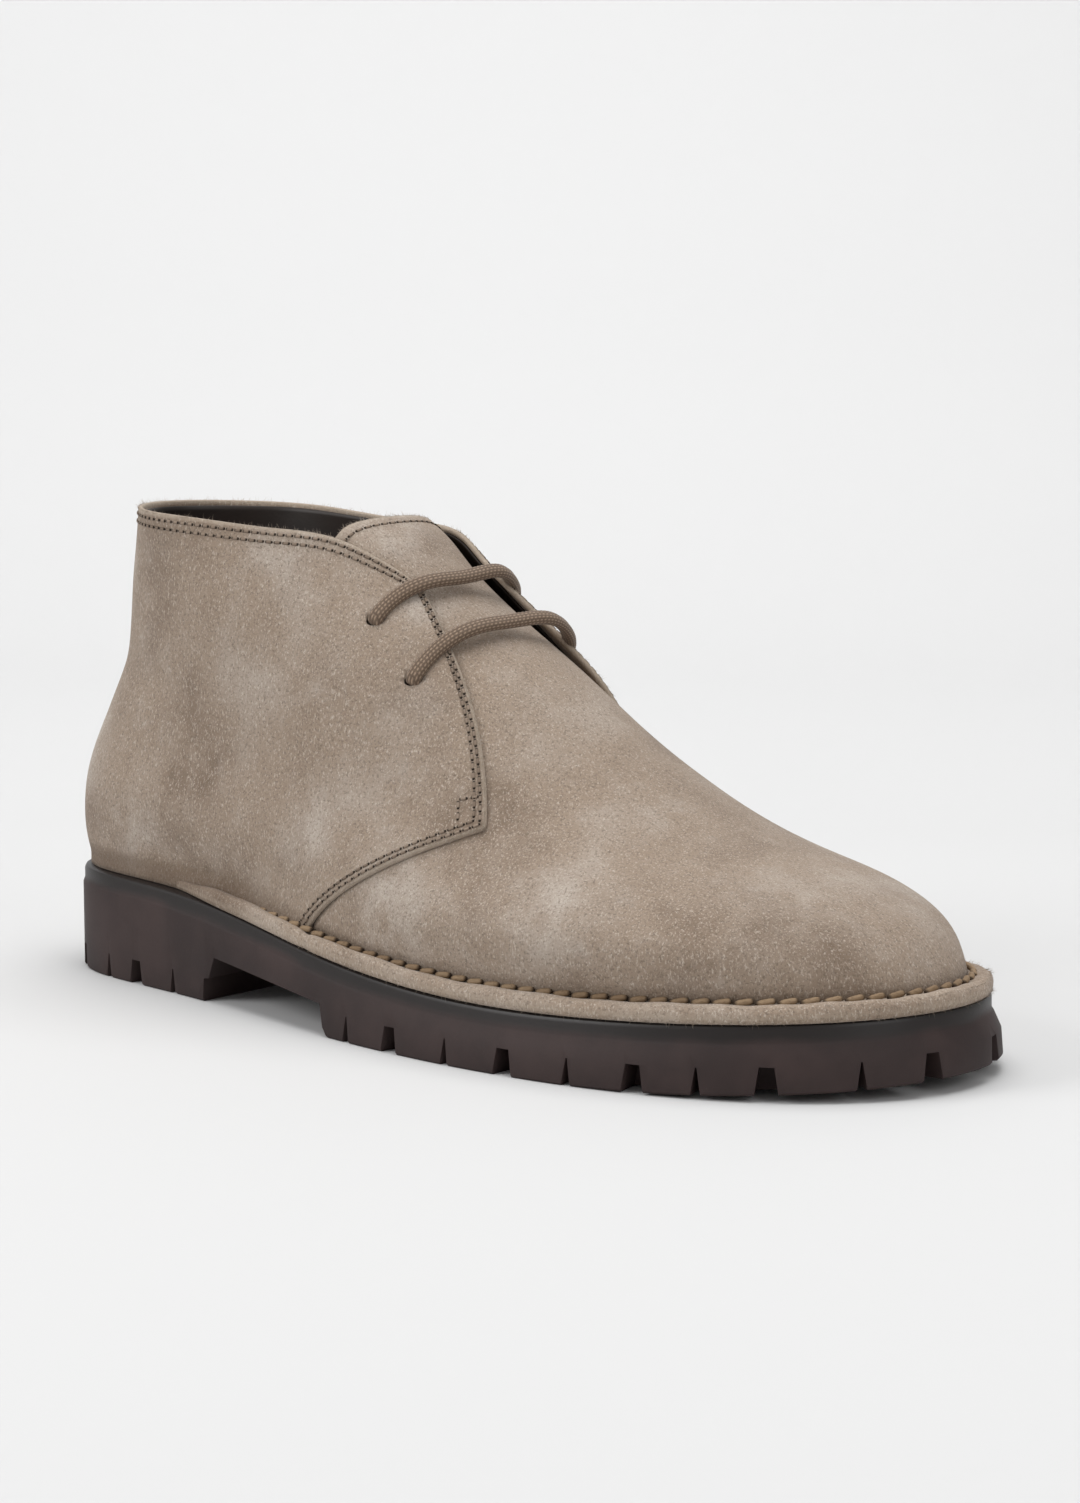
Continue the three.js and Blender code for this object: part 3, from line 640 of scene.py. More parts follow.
def punch(piece):
    """Cuts the four eyelets through a panel as short slits."""
    points, faces = [], []
    turns = 2 * math.pi * np.arange(EYELET_SIDES) / EYELET_SIDES
    slit = np.column_stack([np.cos(turns) * EYELET_WIDTH / 2, np.sin(turns) * EYELET_HEIGHT / 2])
    for (_, side), hole in eyelet_spots.items():
        spot, normal = raised_spot(*hole, 0)
        across = unit(np.cross(normal, [0, 0, 1]) + np.array([0, 0, EYELET_SLANT * side]))
        down = np.cross(normal, across)
        prism(points, faces, slit, lambda u, v, end: (
            spot + across * u + down * v + normal * (2 * end - 1) * CUTTER_REACH))
    carve(piece, mesh_piece("cutter", points, faces))


def carve(piece, cutter):
    """Takes the cutter away from the piece and writes the result into the piece's mesh."""
    modifier = piece.modifiers.new("cut", "BOOLEAN")
    modifier.operation, modifier.object, modifier.solver = "DIFFERENCE", cutter, "EXACT"
    settle(piece)
    bpy.data.objects.remove(cutter)


def settle(piece):
    """Writes a piece's modifiers into its mesh."""
    graph = bpy.context.evaluated_depsgraph_get()
    mesh = bpy.data.meshes.new_from_object(piece.evaluated_get(graph))
    piece.modifiers.clear()
    piece.data = mesh


# Reach of the painted shade along the crease over the sole, in millimetres from the panel's foot.
CREASE_LOW, CREASE_HIGH, CREASE_AT_WAIST = 4.4, 8.4, 7.0
WAIST_X, WAIST_REACH = 92.0, 26.0


def panel_values(points, distances, sides):
    """The distance to the nearest cut edge, and a mask of painted brown shade in the crease where the
    panel meets the sole, which is widest at the waist; near the heel it also stands for a brown stain."""
    waist = np.exp(-((points[..., 0] - WAIST_X) / WAIST_REACH) ** 2)
    # Painted shade in the crease over the sole, with a brown stain near the heel.
    crease_shade_and_stain = 1 - smoothstep(CREASE_LOW, CREASE_HIGH + CREASE_AT_WAIST * waist, distances["v0"])
    return {"edge_mm": np.minimum.reduce([distances[key] for key in sides]), "crease_shade_and_stain": crease_shade_and_stain}


def upper_panel(name, patch, outside, inside, sides):
    outer, inner = raised(patch, outside)[0], raised(patch, inside)[0]
    panel = shell(name, outer, inner, panel_values(outer, edge_distances(outer), sides))
    punch(panel)
    return panel, outer


quarters_patch = both_sides(QUARTER)
quarters, outer_face = upper_panel("quarters", quarters_patch, QUARTER_STEP, QUARTER_INSIDE,
                                   ["u0", "u1", "v1"])
lining, _ = upper_panel("quarter_lining", quarters_patch[2:-2, :-1], LINING_OUTSIDE,
                        LINING_INSIDE, ["v1"])

VAMP_THICKNESS, HEM_SINK = 1.6, 1.3
vamp_far = edge_distances(last_point(VAMP[..., 0], VAMP[..., 1]))
hem_push = -HEM_SINK * (1 - smoothstep(5, 13, np.minimum(vamp_far["u0"], vamp_far["u1"])))
vamp_spot, vamp_normal = on_last(VAMP, 0)
vamp_outer = vamp_spot + vamp_normal * hem_push[..., None]
vamp = shell("vamp_and_tongue", vamp_outer, vamp_outer - vamp_normal * VAMP_THICKNESS,
             panel_values(vamp_outer, vamp_far, ["v1"]))
for panel in (quarters, lining, vamp):
    print(panel.name, len(panel.data.polygons), "faces")

# %% [markdown]
# ## Turned-out edge
# The upper's lower edge turns out over the sole as a soft roll. It fades out towards the heel.

# %% Turned edge
ROLL_FADE = (0.15, 0.29)
ROLL_HEIGHT, ROLL_RINGS, ROLL_GAP, RIM_INSET = 4.4, 560, 0.12, 0.5
SEAM_COLUMN, SEAM_WIDTH = 12.5, 0.10
SECTION = np.array([(-0.10, 0.02), (0.45, 0.0), (0.92, 0.02), (1.01, 0.12), (1.05, 0.34),
                    (1.06, 0.58), (1.02, 0.80), (0.93, 0.95), (0.80, 1.03), (0.62, 1.06),
                    (0.46, 1.04), (0.30, 0.98), (0.14, 0.94), (-0.10, 0.98)])


def seat_to_rim(columns):
    """Points of the last's foot, and the way and distance from them to the rim of the sole."""
    seat_spot = last_point(0 * columns, columns)
    over = sole_outline(SOLE_FLARE, RIM_INSET, columns) - seat_spot[:, :2]
    return seat_spot, unit(over), np.linalg.norm(over, axis=1)


roll_start = COLUMNS * math.acos(1 - 2 * ROLL_FADE[0]) / (2 * math.pi)
roll_columns = np.linspace(roll_start, COLUMNS - roll_start, ROLL_RINGS)
seat_spot, roll_way, roll_reach = seat_to_rim(roll_columns)
roll_share = column_share(roll_columns)
roll_full = smoothstep(*ROLL_FADE, roll_share)
seam = np.exp(-((roll_columns - SEAM_COLUMN) / SEAM_WIDTH) ** 2)
wobble = 0.16 * np.sin(1.9 * roll_columns) + 0.12 * np.sin(5.3 * roll_columns + 1.0)
roll_width = np.maximum(0.5, roll_reach * roll_full) * (1 - 0.13 * seam)
roll_lift = (ROLL_HEIGHT * (0.35 + 0.65 * roll_full) + wobble) * (1 - 0.16 * seam)
roll_foot = sole_top(seat_spot[:, 0]) + ROLL_GAP
rings = np.stack([
    np.column_stack([seat_spot[:, :2] + roll_way * (roll_width * reach)[:, None],
                     roll_foot + roll_lift * height])
    for reach, height in SECTION
], 1)
roll = closed_sweep("turned_edge", rings[:, ::-1], {
    "edge_mm": np.tile(np.abs(SECTION[::-1, 1] - 0.45) * 6, ROLL_RINGS),
    # Painted shade in the crease over the turned edge, darkest at its two ends near the heel.
    "crease_shade_and_stain": np.repeat(0.9 * (1 - smoothstep(0.20, 0.40, roll_share)), len(SECTION)),
})
print("turned edge:", len(roll.data.polygons), "faces")

# %% [markdown]
# ## Sole
# The unit is a stack of outlines. Its arch, side notches and tread channels are cut out of it,
# and the cut edges are bevelled.

# %% Sole body
NOTCH_HEIGHT, NOTCH_DEPTH = 7.0, 9.0
WIDE_NOTCH, THIN_NOTCH = 6.4, 3.0
TREAD_PITCH, HEEL_BLOCK, TREAD_START = 19.7, 78.0, 138.0
TREAD_BACK, TREAD_FRONT = 0.3 * HEEL_BLOCK, SOLE_LENGTH - 2 * TOE_END_RADIUS / 3
ARCH_HEIGHT, ARCH_FRONT = 13.2, 8.7
CHANNEL_WIDTH, CHANNEL_DEPTH, LUG_LENGTH = 3.0, 4.0, 13.0
BAND_HEIGHT, BAND_STEP, SHOULDER = 5.0, 0.5, 1.4
SOLE_COLUMNS = np.arange(0, COLUMNS, 0.25)
BEVEL_WIDTH, BEVEL_ANGLE = 0.35, 38


def loft(name, rows):
    """Closed solid through equal rows, lowest first, with lids of straight strips."""
    count = len(rows[0])
    faces = ring_faces(len(rows), count)
    for base, flip in ((0, True), ((len(rows) - 1) * count, False)):
        for c in range(count // 2):
            quad = list(dict.fromkeys(
                [base + c, base + c + 1, base + count - c - 1, base + (count - c) % count]))
            faces.append(quad[::-1] if flip else quad)
    return mesh_piece(name, np.concatenate(rows), faces)


def above_ground(rise):
    return lambda x: ground_height(x) + rise


def below_top(drop):
    return lambda x: sole_top(x) - drop


sole_rows = []
for flare, inset, height in (
    (0, 0.5, above_ground(0)),
    (0, 0.0, above_ground(0.6)),
    (0.2 * SOLE_FLARE, 0.0, above_ground(NOTCH_HEIGHT)),
    (0.92 * SOLE_FLARE, 0.0, below_top(BAND_HEIGHT + 0.5)),
    (SOLE_FLARE, 0.18, below_top(BAND_HEIGHT)),
    (SOLE_FLARE, BAND_STEP, below_top(BAND_HEIGHT - 0.7)),
    (SOLE_FLARE, BAND_STEP, below_top(SHOULDER)),
    (SOLE_FLARE, BAND_STEP + 0.3 * SHOULDER, below_top(0.35 * SHOULDER)),
    (SOLE_FLARE, BAND_STEP + SHOULDER, below_top(0)),
):
    flat = sole_outline(flare, inset, SOLE_COLUMNS)
    sole_rows.append(np.column_stack([flat, height(flat[:, 0])]))
outsole = loft("lugged_outsole", sole_rows)


def turned_right(piece):
    """Turns a mesh's faces outward."""
    work = bmesh.new()
    work.from_mesh(piece.data)
    bmesh.ops.recalc_face_normals(work, faces=work.faces)
    work.to_mesh(piece.data)
    work.free()
    return piece


def arch_cutter():
    points, faces = [], []
    arch = [(HEEL_BLOCK, -1), (HEEL_BLOCK + 0.5, 0.5 * ARCH_HEIGHT),
            (HEEL_BLOCK + 3, 0.5 * ARCH_HEIGHT + 0.4), (HEEL_BLOCK + 5.5, ARCH_HEIGHT),
            (TREAD_START - 3, ARCH_FRONT), (TREAD_START - 1.5, 2.6), (TREAD_START + 1.5, -1)]
    prism(points, faces, arch, lambda u, v, end: [u, (2 * end - 1) * BALL_WIDTH, v])
    return mesh_piece("arch", points, faces)


def notch_cutter():
    """Notches from the heel block backwards and from the tread's start forwards."""
    points, faces = [], []
    table = [(HEEL_BLOCK, -1, [0.76, 1.68, 2.4, 3.4, 4.4]),
             (TREAD_START, 1, [0.45, 1.35, 2.4, 3.4, 4.4, 5.35, 6.2, 7.1, 8.3, 9.3, 10.3, 11.3])]
    for side in (-1, 1):
        column = np.linspace(0, HALF, 1400)
        column[-1] = HALF - 1e-6
        path = sole_outline(0, 0, column if side < 0 else COLUMNS - column)
        walked = walk(path)
        for start_x, direction, places in table:
            start = np.interp(start_x, path[:, 0], walked)
            for k, place in enumerate(places):
                at = start + direction * place * TREAD_PITCH
                if not WIDE_NOTCH / 2 < at < walked[-1] - WIDE_NOTCH / 2:
                    continue
                width = WIDE_NOTCH if k % 2 else THIN_NOTCH
                head = width - THIN_NOTCH + 0.4
                spot = read_at(at, walked, path)
                along = unit(read_at(at + 1, walked, path) - spot)
                out = np.array([along[1], -along[0]]) * -side
                foot = float(ground_height(spot[0]))
                shape = [(-width / 2, foot - 1), (width / 2, foot - 1),
                         (head / 2, foot + NOTCH_HEIGHT), (-head / 2, foot + NOTCH_HEIGHT)]
                prism(points, faces, shape, lambda u, v, end: [
                    *(spot + along * u + out * NOTCH_DEPTH * (0.7 - 1.7 * end)), v])
    return mesh_piece("notches", points, faces)


def channel_cutter():
    """Channels along the tread, a notch's depth inside its outline."""
    points, faces = [], []
    column = np.linspace(0.02, HALF - 0.02, 160)
    reaches = (TREAD_BACK, 0.85 * HEEL_BLOCK), (TREAD_START + CHANNEL_WIDTH, TREAD_FRONT)
    for from_x, to_x in reaches:
        for columns in (column, COLUMNS - column):
            lines = []
            for inset in (NOTCH_DEPTH, NOTCH_DEPTH + CHANNEL_WIDTH):
                row = sole_outline(0, inset, columns)
                lines.append(row[(row[:, 0] > from_x) & (row[:, 0] < to_x)])
            size = min(map(len, lines))
            start, total = len(points), 2 * size
            loop = np.concatenate([lines[0][:size], lines[1][:size][::-1]])
            for z in (-1.0, CHANNEL_DEPTH):
                points.extend([x, y, z] for x, y in loop)
            faces.extend(ring_faces(2, total, start))
            for base in (start, start + total):
                faces.extend([base + k, base + k + 1, base + total - k - 2, base + total - k - 1]
                             for k in range(size - 1))
    return mesh_piece("channels", points, faces)


def bar_cutter():
    """Grooves across the forefoot, one for each lug."""
    points, faces = [], []
    from_x = TREAD_START + CHANNEL_WIDTH
    count = int((TREAD_FRONT - from_x) / (LUG_LENGTH + CHANNEL_WIDTH))
    column = np.linspace(0.1, HALF - 0.1, 300)
    lines = [sole_outline(0, NOTCH_DEPTH + CHANNEL_WIDTH / 2, columns)
             for columns in (column, COLUMNS - column)]
    for k in range(1, count):
        x = from_x + k * (TREAD_FRONT - from_x) / count
        low, high = (np.interp(x, line[:, 0], line[:, 1]) for line in lines)
        left, right = x - CHANNEL_WIDTH / 2, x + CHANNEL_WIDTH / 2
        prism(points, faces, [(left, low), (right, low), (right, high), (left, high)],
              lambda u, v, end: [u, v, -1 + end * (CHANNEL_DEPTH + 1)])
    return mesh_piece("bars", points, faces)


for cutter in (arch_cutter, notch_cutter, channel_cutter, bar_cutter):
    carve(outsole, turned_right(cutter()))
bevel = outsole.modifiers.new("soft edges", "BEVEL")
bevel.width, bevel.segments, bevel.limit_method = BEVEL_WIDTH * MM, 2, "ANGLE"
bevel.angle_limit = math.radians(BEVEL_ANGLE)
settle(outsole)
spots = np.zeros(3 * len(outsole.data.vertices))
outsole.data.vertices.foreach_get("co", spots)
spots = spots.reshape(-1, 3) / MM + ORIGIN
add_values(outsole.data, "below_top", sole_top(spots[:, 0]) - spots[:, 2])
print("outsole:", len(outsole.data.polygons), "faces")

# %% [markdown]
# ## Thread
# Each stitch is a small closed bead that lies along its line. Its two ends are painted dark, as the
# shade in the hole where the thread dips in. Rows on the suede are fine, and the rope-like stitches in
# the crease over the turned edge are thick and golden.

# %% Stitches
STITCH_PROFILE = np.array([(-0.5, 0.0), (-0.42, 0.78), (-0.2, 1.0), (0.2, 1.0), (0.42, 0.78),
                           (0.5, 0.0)])
STITCH_LIFT, STITCH_PITCH, TACK_PITCH = QUARTER_STEP + 0.1, 2.75, 2.2
STITCH_LENGTH, STITCH_WIDTH, STITCH_HEIGHT = 2.6, 0.90, 0.60
ROW_INSETS, TONGUE_ROW_INSET = (1.7, 4.0), 3.2
ROPE_PITCH, ROPE_POINTS, ROPE_START = 5.5, 700, 10.2
ROPE_WIDTH, ROPE_HEIGHT, ROPE_SLANT, ROPE_SIDES = 1.75, 1.6, 0.20, 10
ROPE_OUT, ROPE_LIFT, ROPE_SINK = 1.25, 0.45, 1.2
TACK_BOX = [(171.4, 59.0), (169.3, 64.2), (175.2, 65.6)]


def beads(name, rows, length, width, height, sides=6, slant=0.0):
    """Stitches along rows of (points, normals, pitch). Each is a tapered bead with two ends."""
    last = 4 * sides + 1
    template = ring_faces(4, sides, 1)
    for k in range(sides):
        n = (k + 1) % sides
        template += [[0, 1 + n, 1 + k], [last, last - sides + k, last - sides + n]]
    turn = (2 * math.pi * np.arange(sides) / sides)[:, None]
    s, r = STITCH_PROFILE.T[..., None, None]
    stitches = []
    for line, normals, pitch in rows:
        walked = walk(line)
        count = max(1, int(walked[-1] / pitch))
        at = (np.arange(count) + 0.5) * walked[-1] / count
        way = unit(read_at(at + 0.3, walked, line) - read_at(at - 0.3, walked, line))
        up = unit(read_at(at, walked, normals))
        way = unit(way + slant * unit(np.cross(up, way)))
        across = unit(np.cross(up, way))
        middle = read_at(at, walked, line)
        middle, way, up, across = (v[:, None, None] for v in (middle, way, up, across))
        bead = (middle + way * s * length + across * np.cos(turn) * r * width / 2
                + up * (np.sin(turn) * r * height / 2 - 0.3 * height * (1 - r)))
        stitches.append(np.concatenate([bead[:, 0, :1], bead[:, 1:-1].reshape(count, -1, 3),
                                        bead[:, -1, :1]], 1))
    points = np.concatenate(stitches)
    number, size = points.shape[:2]
    print(name, number, "stitches")
    tints = np.repeat(np.sin(np.arange(number) * 12.9898) * 0.5 + 0.5, size)
    # Painted shade at each stitch's two ends, where the thread dips into its hole.
    hole_shades = [1.0] + [0.8] * sides + [0.0] * (2 * sides) + [0.8] * sides + [1.0]
    return turned_right(mesh_piece(name, points.reshape(-1, 3), repeated(template, number, size),
                                   {"tint": tints, "hole": hole_shades * number}))


def patch_at(patch, u, v):
    """Reads a patch's level and column between its grid points."""
    i = np.clip(u, 0, 1) * (patch.shape[0] - 1)
    j = np.clip(v, 0, 1) * (patch.shape[1] - 1)
    i0 = np.minimum(i.astype(int), patch.shape[0] - 2)
    j0 = np.minimum(j.astype(int), patch.shape[1] - 2)
    a, b = (i - i0)[..., None], (j - j0)[..., None]
    return ((1 - a) * (1 - b) * patch[i0, j0] + a * (1 - b) * patch[i0 + 1, j0]
            + (1 - a) * b * patch[i0, j0 + 1] + a * b * patch[i0 + 1, j0 + 1])


def share_inside(distances, inset):
    """For each column of a table of distances, the share at which it falls to the inset."""
    shares = np.linspace(0, 1, len(distances))
    return np.array([np.interp(-inset, -row, shares) for row in distances.T])


stitch_rows = []


def add_row(points, normals, pitch=STITCH_PITCH):
    stitch_rows.append((points[:, 0], normals[:, 0], pitch))


quarter_far = edge_distances(last_point(QUARTER[..., 0], QUARTER[..., 1]))
grid_u, grid_v = (np.linspace(0, 1, size) for size in QUARTER.shape[:2])
for inset in ROW_INSETS:
    v_top = share_inside(quarter_far["v1"].T, inset)
    u_front = share_inside(quarter_far["u1"], inset)
    u = np.linspace(0, np.interp(v_top[-1], grid_v, u_front), 160)
    top_v = np.interp(u, grid_u, v_top)
    v = np.linspace(top_v[-1], 0.03, 170)
    for side in (-1, 1):
        for uu, vv in ((u, top_v), (np.interp(v, grid_v, u_front), v)):
            spots = patch_at(QUARTER, uu, vv) * ([1, 1] if side < 0 else [1, -1])
            add_row(*raised(spots[:, None], STITCH_LIFT))
for side in (-1, 1):
    corners = np.array([spot_from_side(x, z, side) for x, z in TACK_BOX])
    for start, end in zip(corners, corners[1:]):
        spots = start + (end - start) * np.linspace(0, 1, 12)[:, None]
        add_row(*raised(spots[:, None], STITCH_LIFT), TACK_PITCH)
vamp_u = np.linspace(0.03, 0.97, 200)
top_shares = share_inside(vamp_far["v1"].T, TONGUE_ROW_INSET)
vamp_v = np.interp(vamp_u, np.linspace(0, 1, len(VAMP)), top_shares)
add_row(*on_last(patch_at(VAMP, vamp_u, vamp_v)[:, None], 0.1))
fine_thread = beads("panel_stitches", stitch_rows, STITCH_LENGTH, STITCH_WIDTH, STITCH_HEIGHT)

rope_columns = np.linspace(ROPE_START, COLUMNS - ROPE_START, ROPE_POINTS)
rope_seat, rope_way, _ = seat_to_rim(rope_columns)
rope_sink = ROPE_SINK * (1 - smoothstep(0.30, 0.42, column_share(rope_columns)))
rope_line = np.column_stack([rope_seat[:, :2] + rope_way * ROPE_OUT,
                             sole_top(rope_seat[:, 0]) + ROLL_HEIGHT + ROPE_LIFT - rope_sink])
rope_normal = unit(np.column_stack([rope_way * 0.75, np.full(ROPE_POINTS, 0.65)]))
rope = beads("rope_stitches", [(rope_line, rope_normal, ROPE_PITCH)], ROPE_PITCH, ROPE_WIDTH,
             ROPE_HEIGHT, ROPE_SIDES, ROPE_SLANT)

# %% [markdown]
# ## Fuzz
# Cut suede sheds short fibres along its edges. Each is a thin three-sided spike.

# %% Fibres
FIBRE_LENGTH, FIBRE_WIDTH, FIBRE_ROOT, FIBRE_SEED = 1.7, 0.10, 0.12, 7
FIBRE_LEAN, FIBRE_BEND, SHORTEST_FIBRE = 0.55, 0.25, 0.35


def spikes(lines):
    """Spikes along lines of (points, directions, count), with random places and leans."""
    draw = np.random.default_rng(FIBRE_SEED)
    turn = np.array([0, 2.1, 4.2])[:, None]
    points = []
    for line, ways, count in lines:
        at = draw.uniform(0, len(line) - 1.001, count)
        k, t = at.astype(int), (at % 1)[:, None]
        foot = line[k] * (1 - t) + line[k + 1] * t
        way = unit(ways[k] + draw.normal(0, FIBRE_LEAN, (count, 3)))
        reach = FIBRE_LENGTH * draw.uniform(SHORTEST_FIBRE, 1.0, (count, 1)) ** 1.6
        side = unit(np.cross(way, [0.3, 0.5, 0.8]))
        other = np.cross(way, side)
        tip = foot + way * reach + draw.normal(0, FIBRE_BEND, (count, 3)) * reach
        root = (foot - way * FIBRE_ROOT)[:, None]
        ring = side[:, None] * np.cos(turn) + other[:, None] * np.sin(turn)
        points.append(np.concatenate([root + ring * FIBRE_WIDTH / 2, tip[:, None]], 1))
    return np.concatenate(points)


quarter_normal = raised(quarters_patch, 0)[1]
top_way = unit(outer_face[:, -1] - outer_face[:, -4]) + 0.4 * quarter_normal[:, -1]
vamp_way = unit(vamp_outer[:, -1] - vamp_outer[:, -4])
middle_rings = rings[60:-60]
roll_out = np.column_stack([roll_way, np.zeros(ROLL_RINGS)])[60:-60]
fuzz_lines = [
    (middle_rings[:, 3], roll_out - [0, 0, 0.3], 900),
    (middle_rings[:, 7], roll_out + [0, 0, 0.5], 700),
    (outer_face[:, -1], top_way, 700),
    (vamp_outer[:, -1], vamp_way, 260),
]
for end, inner_row in ((0, 3), (-1, -4)):
    front_way = unit(outer_face[end] - outer_face[inner_row])
    fuzz_lines.append((outer_face[end], front_way + 0.3 * quarter_normal[end], 420))
tufts = spikes(fuzz_lines)
spike_faces = repeated([[0, 1, 3], [1, 2, 3], [2, 0, 3], [2, 1, 0]], len(tufts), 4)
fuzz = turned_right(mesh_piece("edge_fuzz", tufts.reshape(-1, 3), spike_faces))
print("fuzz:", len(fuzz.data.polygons), "faces")

# %% [markdown]
# ## Lace
# One flat oval braid runs in at the outer side's upper eyelet, over the tongue, through the two
# inner eyelets and back over the tongue. Both tails end inside the boot.

# %% Lace
LACE_WIDTH, LACE_HEIGHT, LACE_CLIMB, LACE_SKEW = 4.6, 3.3, 0.08, 0.80
LACE_STEP, LACE_SIDES = 0.36, 28
LACE_INSIDE, LACE_START, LACE_DIP = -UPPER_WALL - 3.0, 1.2, 0.72
BAR_SHARES = (0.10, 0.27, 0.45, 0.63, 0.80, 0.92)
LACE_RIDE = QUARTER_STEP + LACE_HEIGHT / 2 + 0.5


def lace_bar(row):
    """Stops of a bar from inside the outer eyelet to inside the inner one."""
    outer, inner = np.array(eyelet_spots[row, -1]), np.array(eyelet_spots[row, 1])
    stops = [raised_spot(*outer, offset)
             for offset in (LACE_INSIDE - 3, LACE_INSIDE, -1.0, LACE_START)]
    for share in BAR_SHARES:
        level, column = outer + (inner - outer) * share
        level += LACE_CLIMB * math.sin(math.pi * share ** LACE_SKEW)
        full = smoothstep(0, 0.3, share) - LACE_DIP * smoothstep(0.62, 0.92, share)
        stops.append(raised_spot(level, column, LACE_START + (LACE_RIDE - LACE_START) * full))
    return stops + [raised_spot(*inner, offset) for offset in (LACE_START, -1.0, LACE_INSIDE)]


route = lace_bar(0) + lace_bar(1)[::-1]
knots, lean = (np.array(table) for table in zip(*route))
chord = np.append(0, np.cumsum(np.sqrt(np.linalg.norm(np.diff(knots, axis=0), axis=1))))
fine = np.linspace(0, chord[-1], 4000)
path = np.stack([natural_cubic(chord, knots[:, i], fine) for i in range(3)], -1)
walked = walk(path)
lace_length = walked[-1]
at = np.linspace(0, lace_length, int(lace_length / LACE_STEP))
centre = read_at(at, walked, path)
way = unit(np.gradient(centre, axis=0))
up = read_at(np.interp(at, walked, fine), chord, lean)
up = unit(up - way * (up * way).sum(-1, keepdims=True))
across = np.cross(way, up)
turn = np.linspace(0, 2 * math.pi, LACE_SIDES, endpoint=False)
rib_turn = np.abs(np.cos(turn))[None]
braid = np.abs(np.sin(at[:, None] * 2.4 + rib_turn * 4.0)) * np.abs(np.cos(turn * 7))[None] ** 0.3
swell = 1 + 0.05 * braid - 0.13 * np.exp(-((rib_turn - 0.20) / 0.11) ** 2)
lace_points = (centre[:, None]
               + across[:, None] * (np.cos(turn)[None] * swell * LACE_WIDTH / 2)[..., None]
               + up[:, None] * (np.sin(turn)[None] * swell * LACE_HEIGHT / 2)[..., None])
lace_uvs = np.stack(np.broadcast_arrays(turn / (2 * math.pi), at[:, None] / lace_length), -1)
lace = closed_sweep("braided_lace", lace_points, {"braid": braid}, lace_uvs.reshape(-1, 2))
print("lace is", round(lace_length), "mm long between its hidden ends")

# %% [markdown]
# ## Materials
# A small class wraps a node's output, so that a material reads like a sum.

# %% Node algebra
class Value:
    """An output socket with the arithmetic of numbers and colours."""

    def __init__(self, tree, socket):
        self.tree, self.socket = tree, socket

    def through(self, kind, output, *fed, **settings):
        """The output of a new node whose inputs are fed with (name or number, value) pairs."""
        node = self.tree.nodes.new("ShaderNode" + kind)
        for key, value in settings.items():
            setattr(node, key, value)
        for slot, value in fed:
            feed(self.tree, value, node.inputs[slot])
        return Value(self.tree, node.outputs[output])

    def math(self, operation, *others):
        return self.through("Math", 0, *enumerate((self, *others)), operation=operation)

    def __add__(self, other):
        return self.math("ADD", other)

    def __mul__(self, other):
        return self.math("MULTIPLY", other)

    def __sub__(self, other):
        return self.math("SUBTRACT", other)

    def __rsub__(self, other):
        return self.math("MULTIPLY_ADD", -1.0, other)

    __radd__ = __add__

    def step(self, low, high):
        """0 below low, 1 above high, smooth between."""
        return self.through("MapRange", "Result", ("Value", self), ("From Min", low),
                            ("From Max", high), interpolation_type="SMOOTHSTEP")

    def scaled(self, factor):
        """A colour made lighter or darker by a constant factor."""
        return self.through("VectorMath", 0, (0, self), ("Scale", factor), operation="SCALE")

    def mix(self, first, second):
        """Colour between two colours by this value."""
        return self.through("Mix", 2, (0, self), (6, first), (7, second), data_type="RGBA")


def feed(tree, value, slot):
    if isinstance(value, Value):
        tree.links.new(value.socket, slot)
    elif slot.type == "RGBA":
        slot.default_value = (*value, 1.0)
    else:
        slot.default_value = value


def layered(base, *layers):
    """A base colour under layers of (share, colour)."""
    for share, colour in layers:
        base = share.mix(base, colour)
    return base


class Finish:
    """A material under construction."""

    def __init__(self, name, **constants):
        self.material = bpy.data.materials.new(name)
        self.material.use_nodes = True
        self.tree = self.material.node_tree
        self.shader = self.tree.nodes["Principled BSDF"]
        for key, value in constants.items():
            feed(self.tree, value, self.shader.inputs[key.replace("_", " ")])
        self.place = Value(self.tree, self.tree.nodes.new("ShaderNodeTexCoord").outputs["Object"])

    def stretched(self, z):
        """The place with its height scaled, for streaks that stand or lie."""
        return self.place.through("Mapping", 0, ("Vector", self.place), ("Scale", (1.0, 1.0, z)))

    def noise(self, scale, detail=2.0, roughness=0.5, where=None):
        return self.place.through("TexNoise", 0, ("Vector", where or self.place), ("Scale", scale),
                                  ("Detail", detail), ("Roughness", roughness))

    def attribute(self, name):
        return self.place.through("Attribute", "Fac", attribute_name=name)

    def near(self, x, y, z, radius):
        """One at a place of the boot in millimetres and zero a radius away."""
        centre = (np.array([x, y, z]) - ORIGIN) * MM
        away = self.place.through("VectorMath", "Value", (0, self.place), (1, centre),
                                  operation="DISTANCE")
        return 1 - away.step(0.15 * radius * MM, radius * MM)

    def bump(self, height, depth_mm, strength):
        normal = height.through("Bump", 0, ("Height", height), ("Distance", depth_mm * MM),
                                ("Strength", strength))
        feed(self.tree, normal, self.shader.inputs["Normal"])

    def paint(self, colour, roughness=None):
        feed(self.tree, colour, self.shader.inputs["Base Color"])
        if roughness is not None:
            feed(self.tree, roughness, self.shader.inputs["Roughness"])

    def give(self, *pieces):
        for piece in pieces:
            piece.data.materials.clear()
            piece.data.materials.append(self.material)


print("node helpers ready")

# %% [markdown]
# ### Suede
# Brushed suede is a mid brown with pale patches where the nap lies one way and dark ones where it
# lies the other. A fine grain and short hairs break up the light.

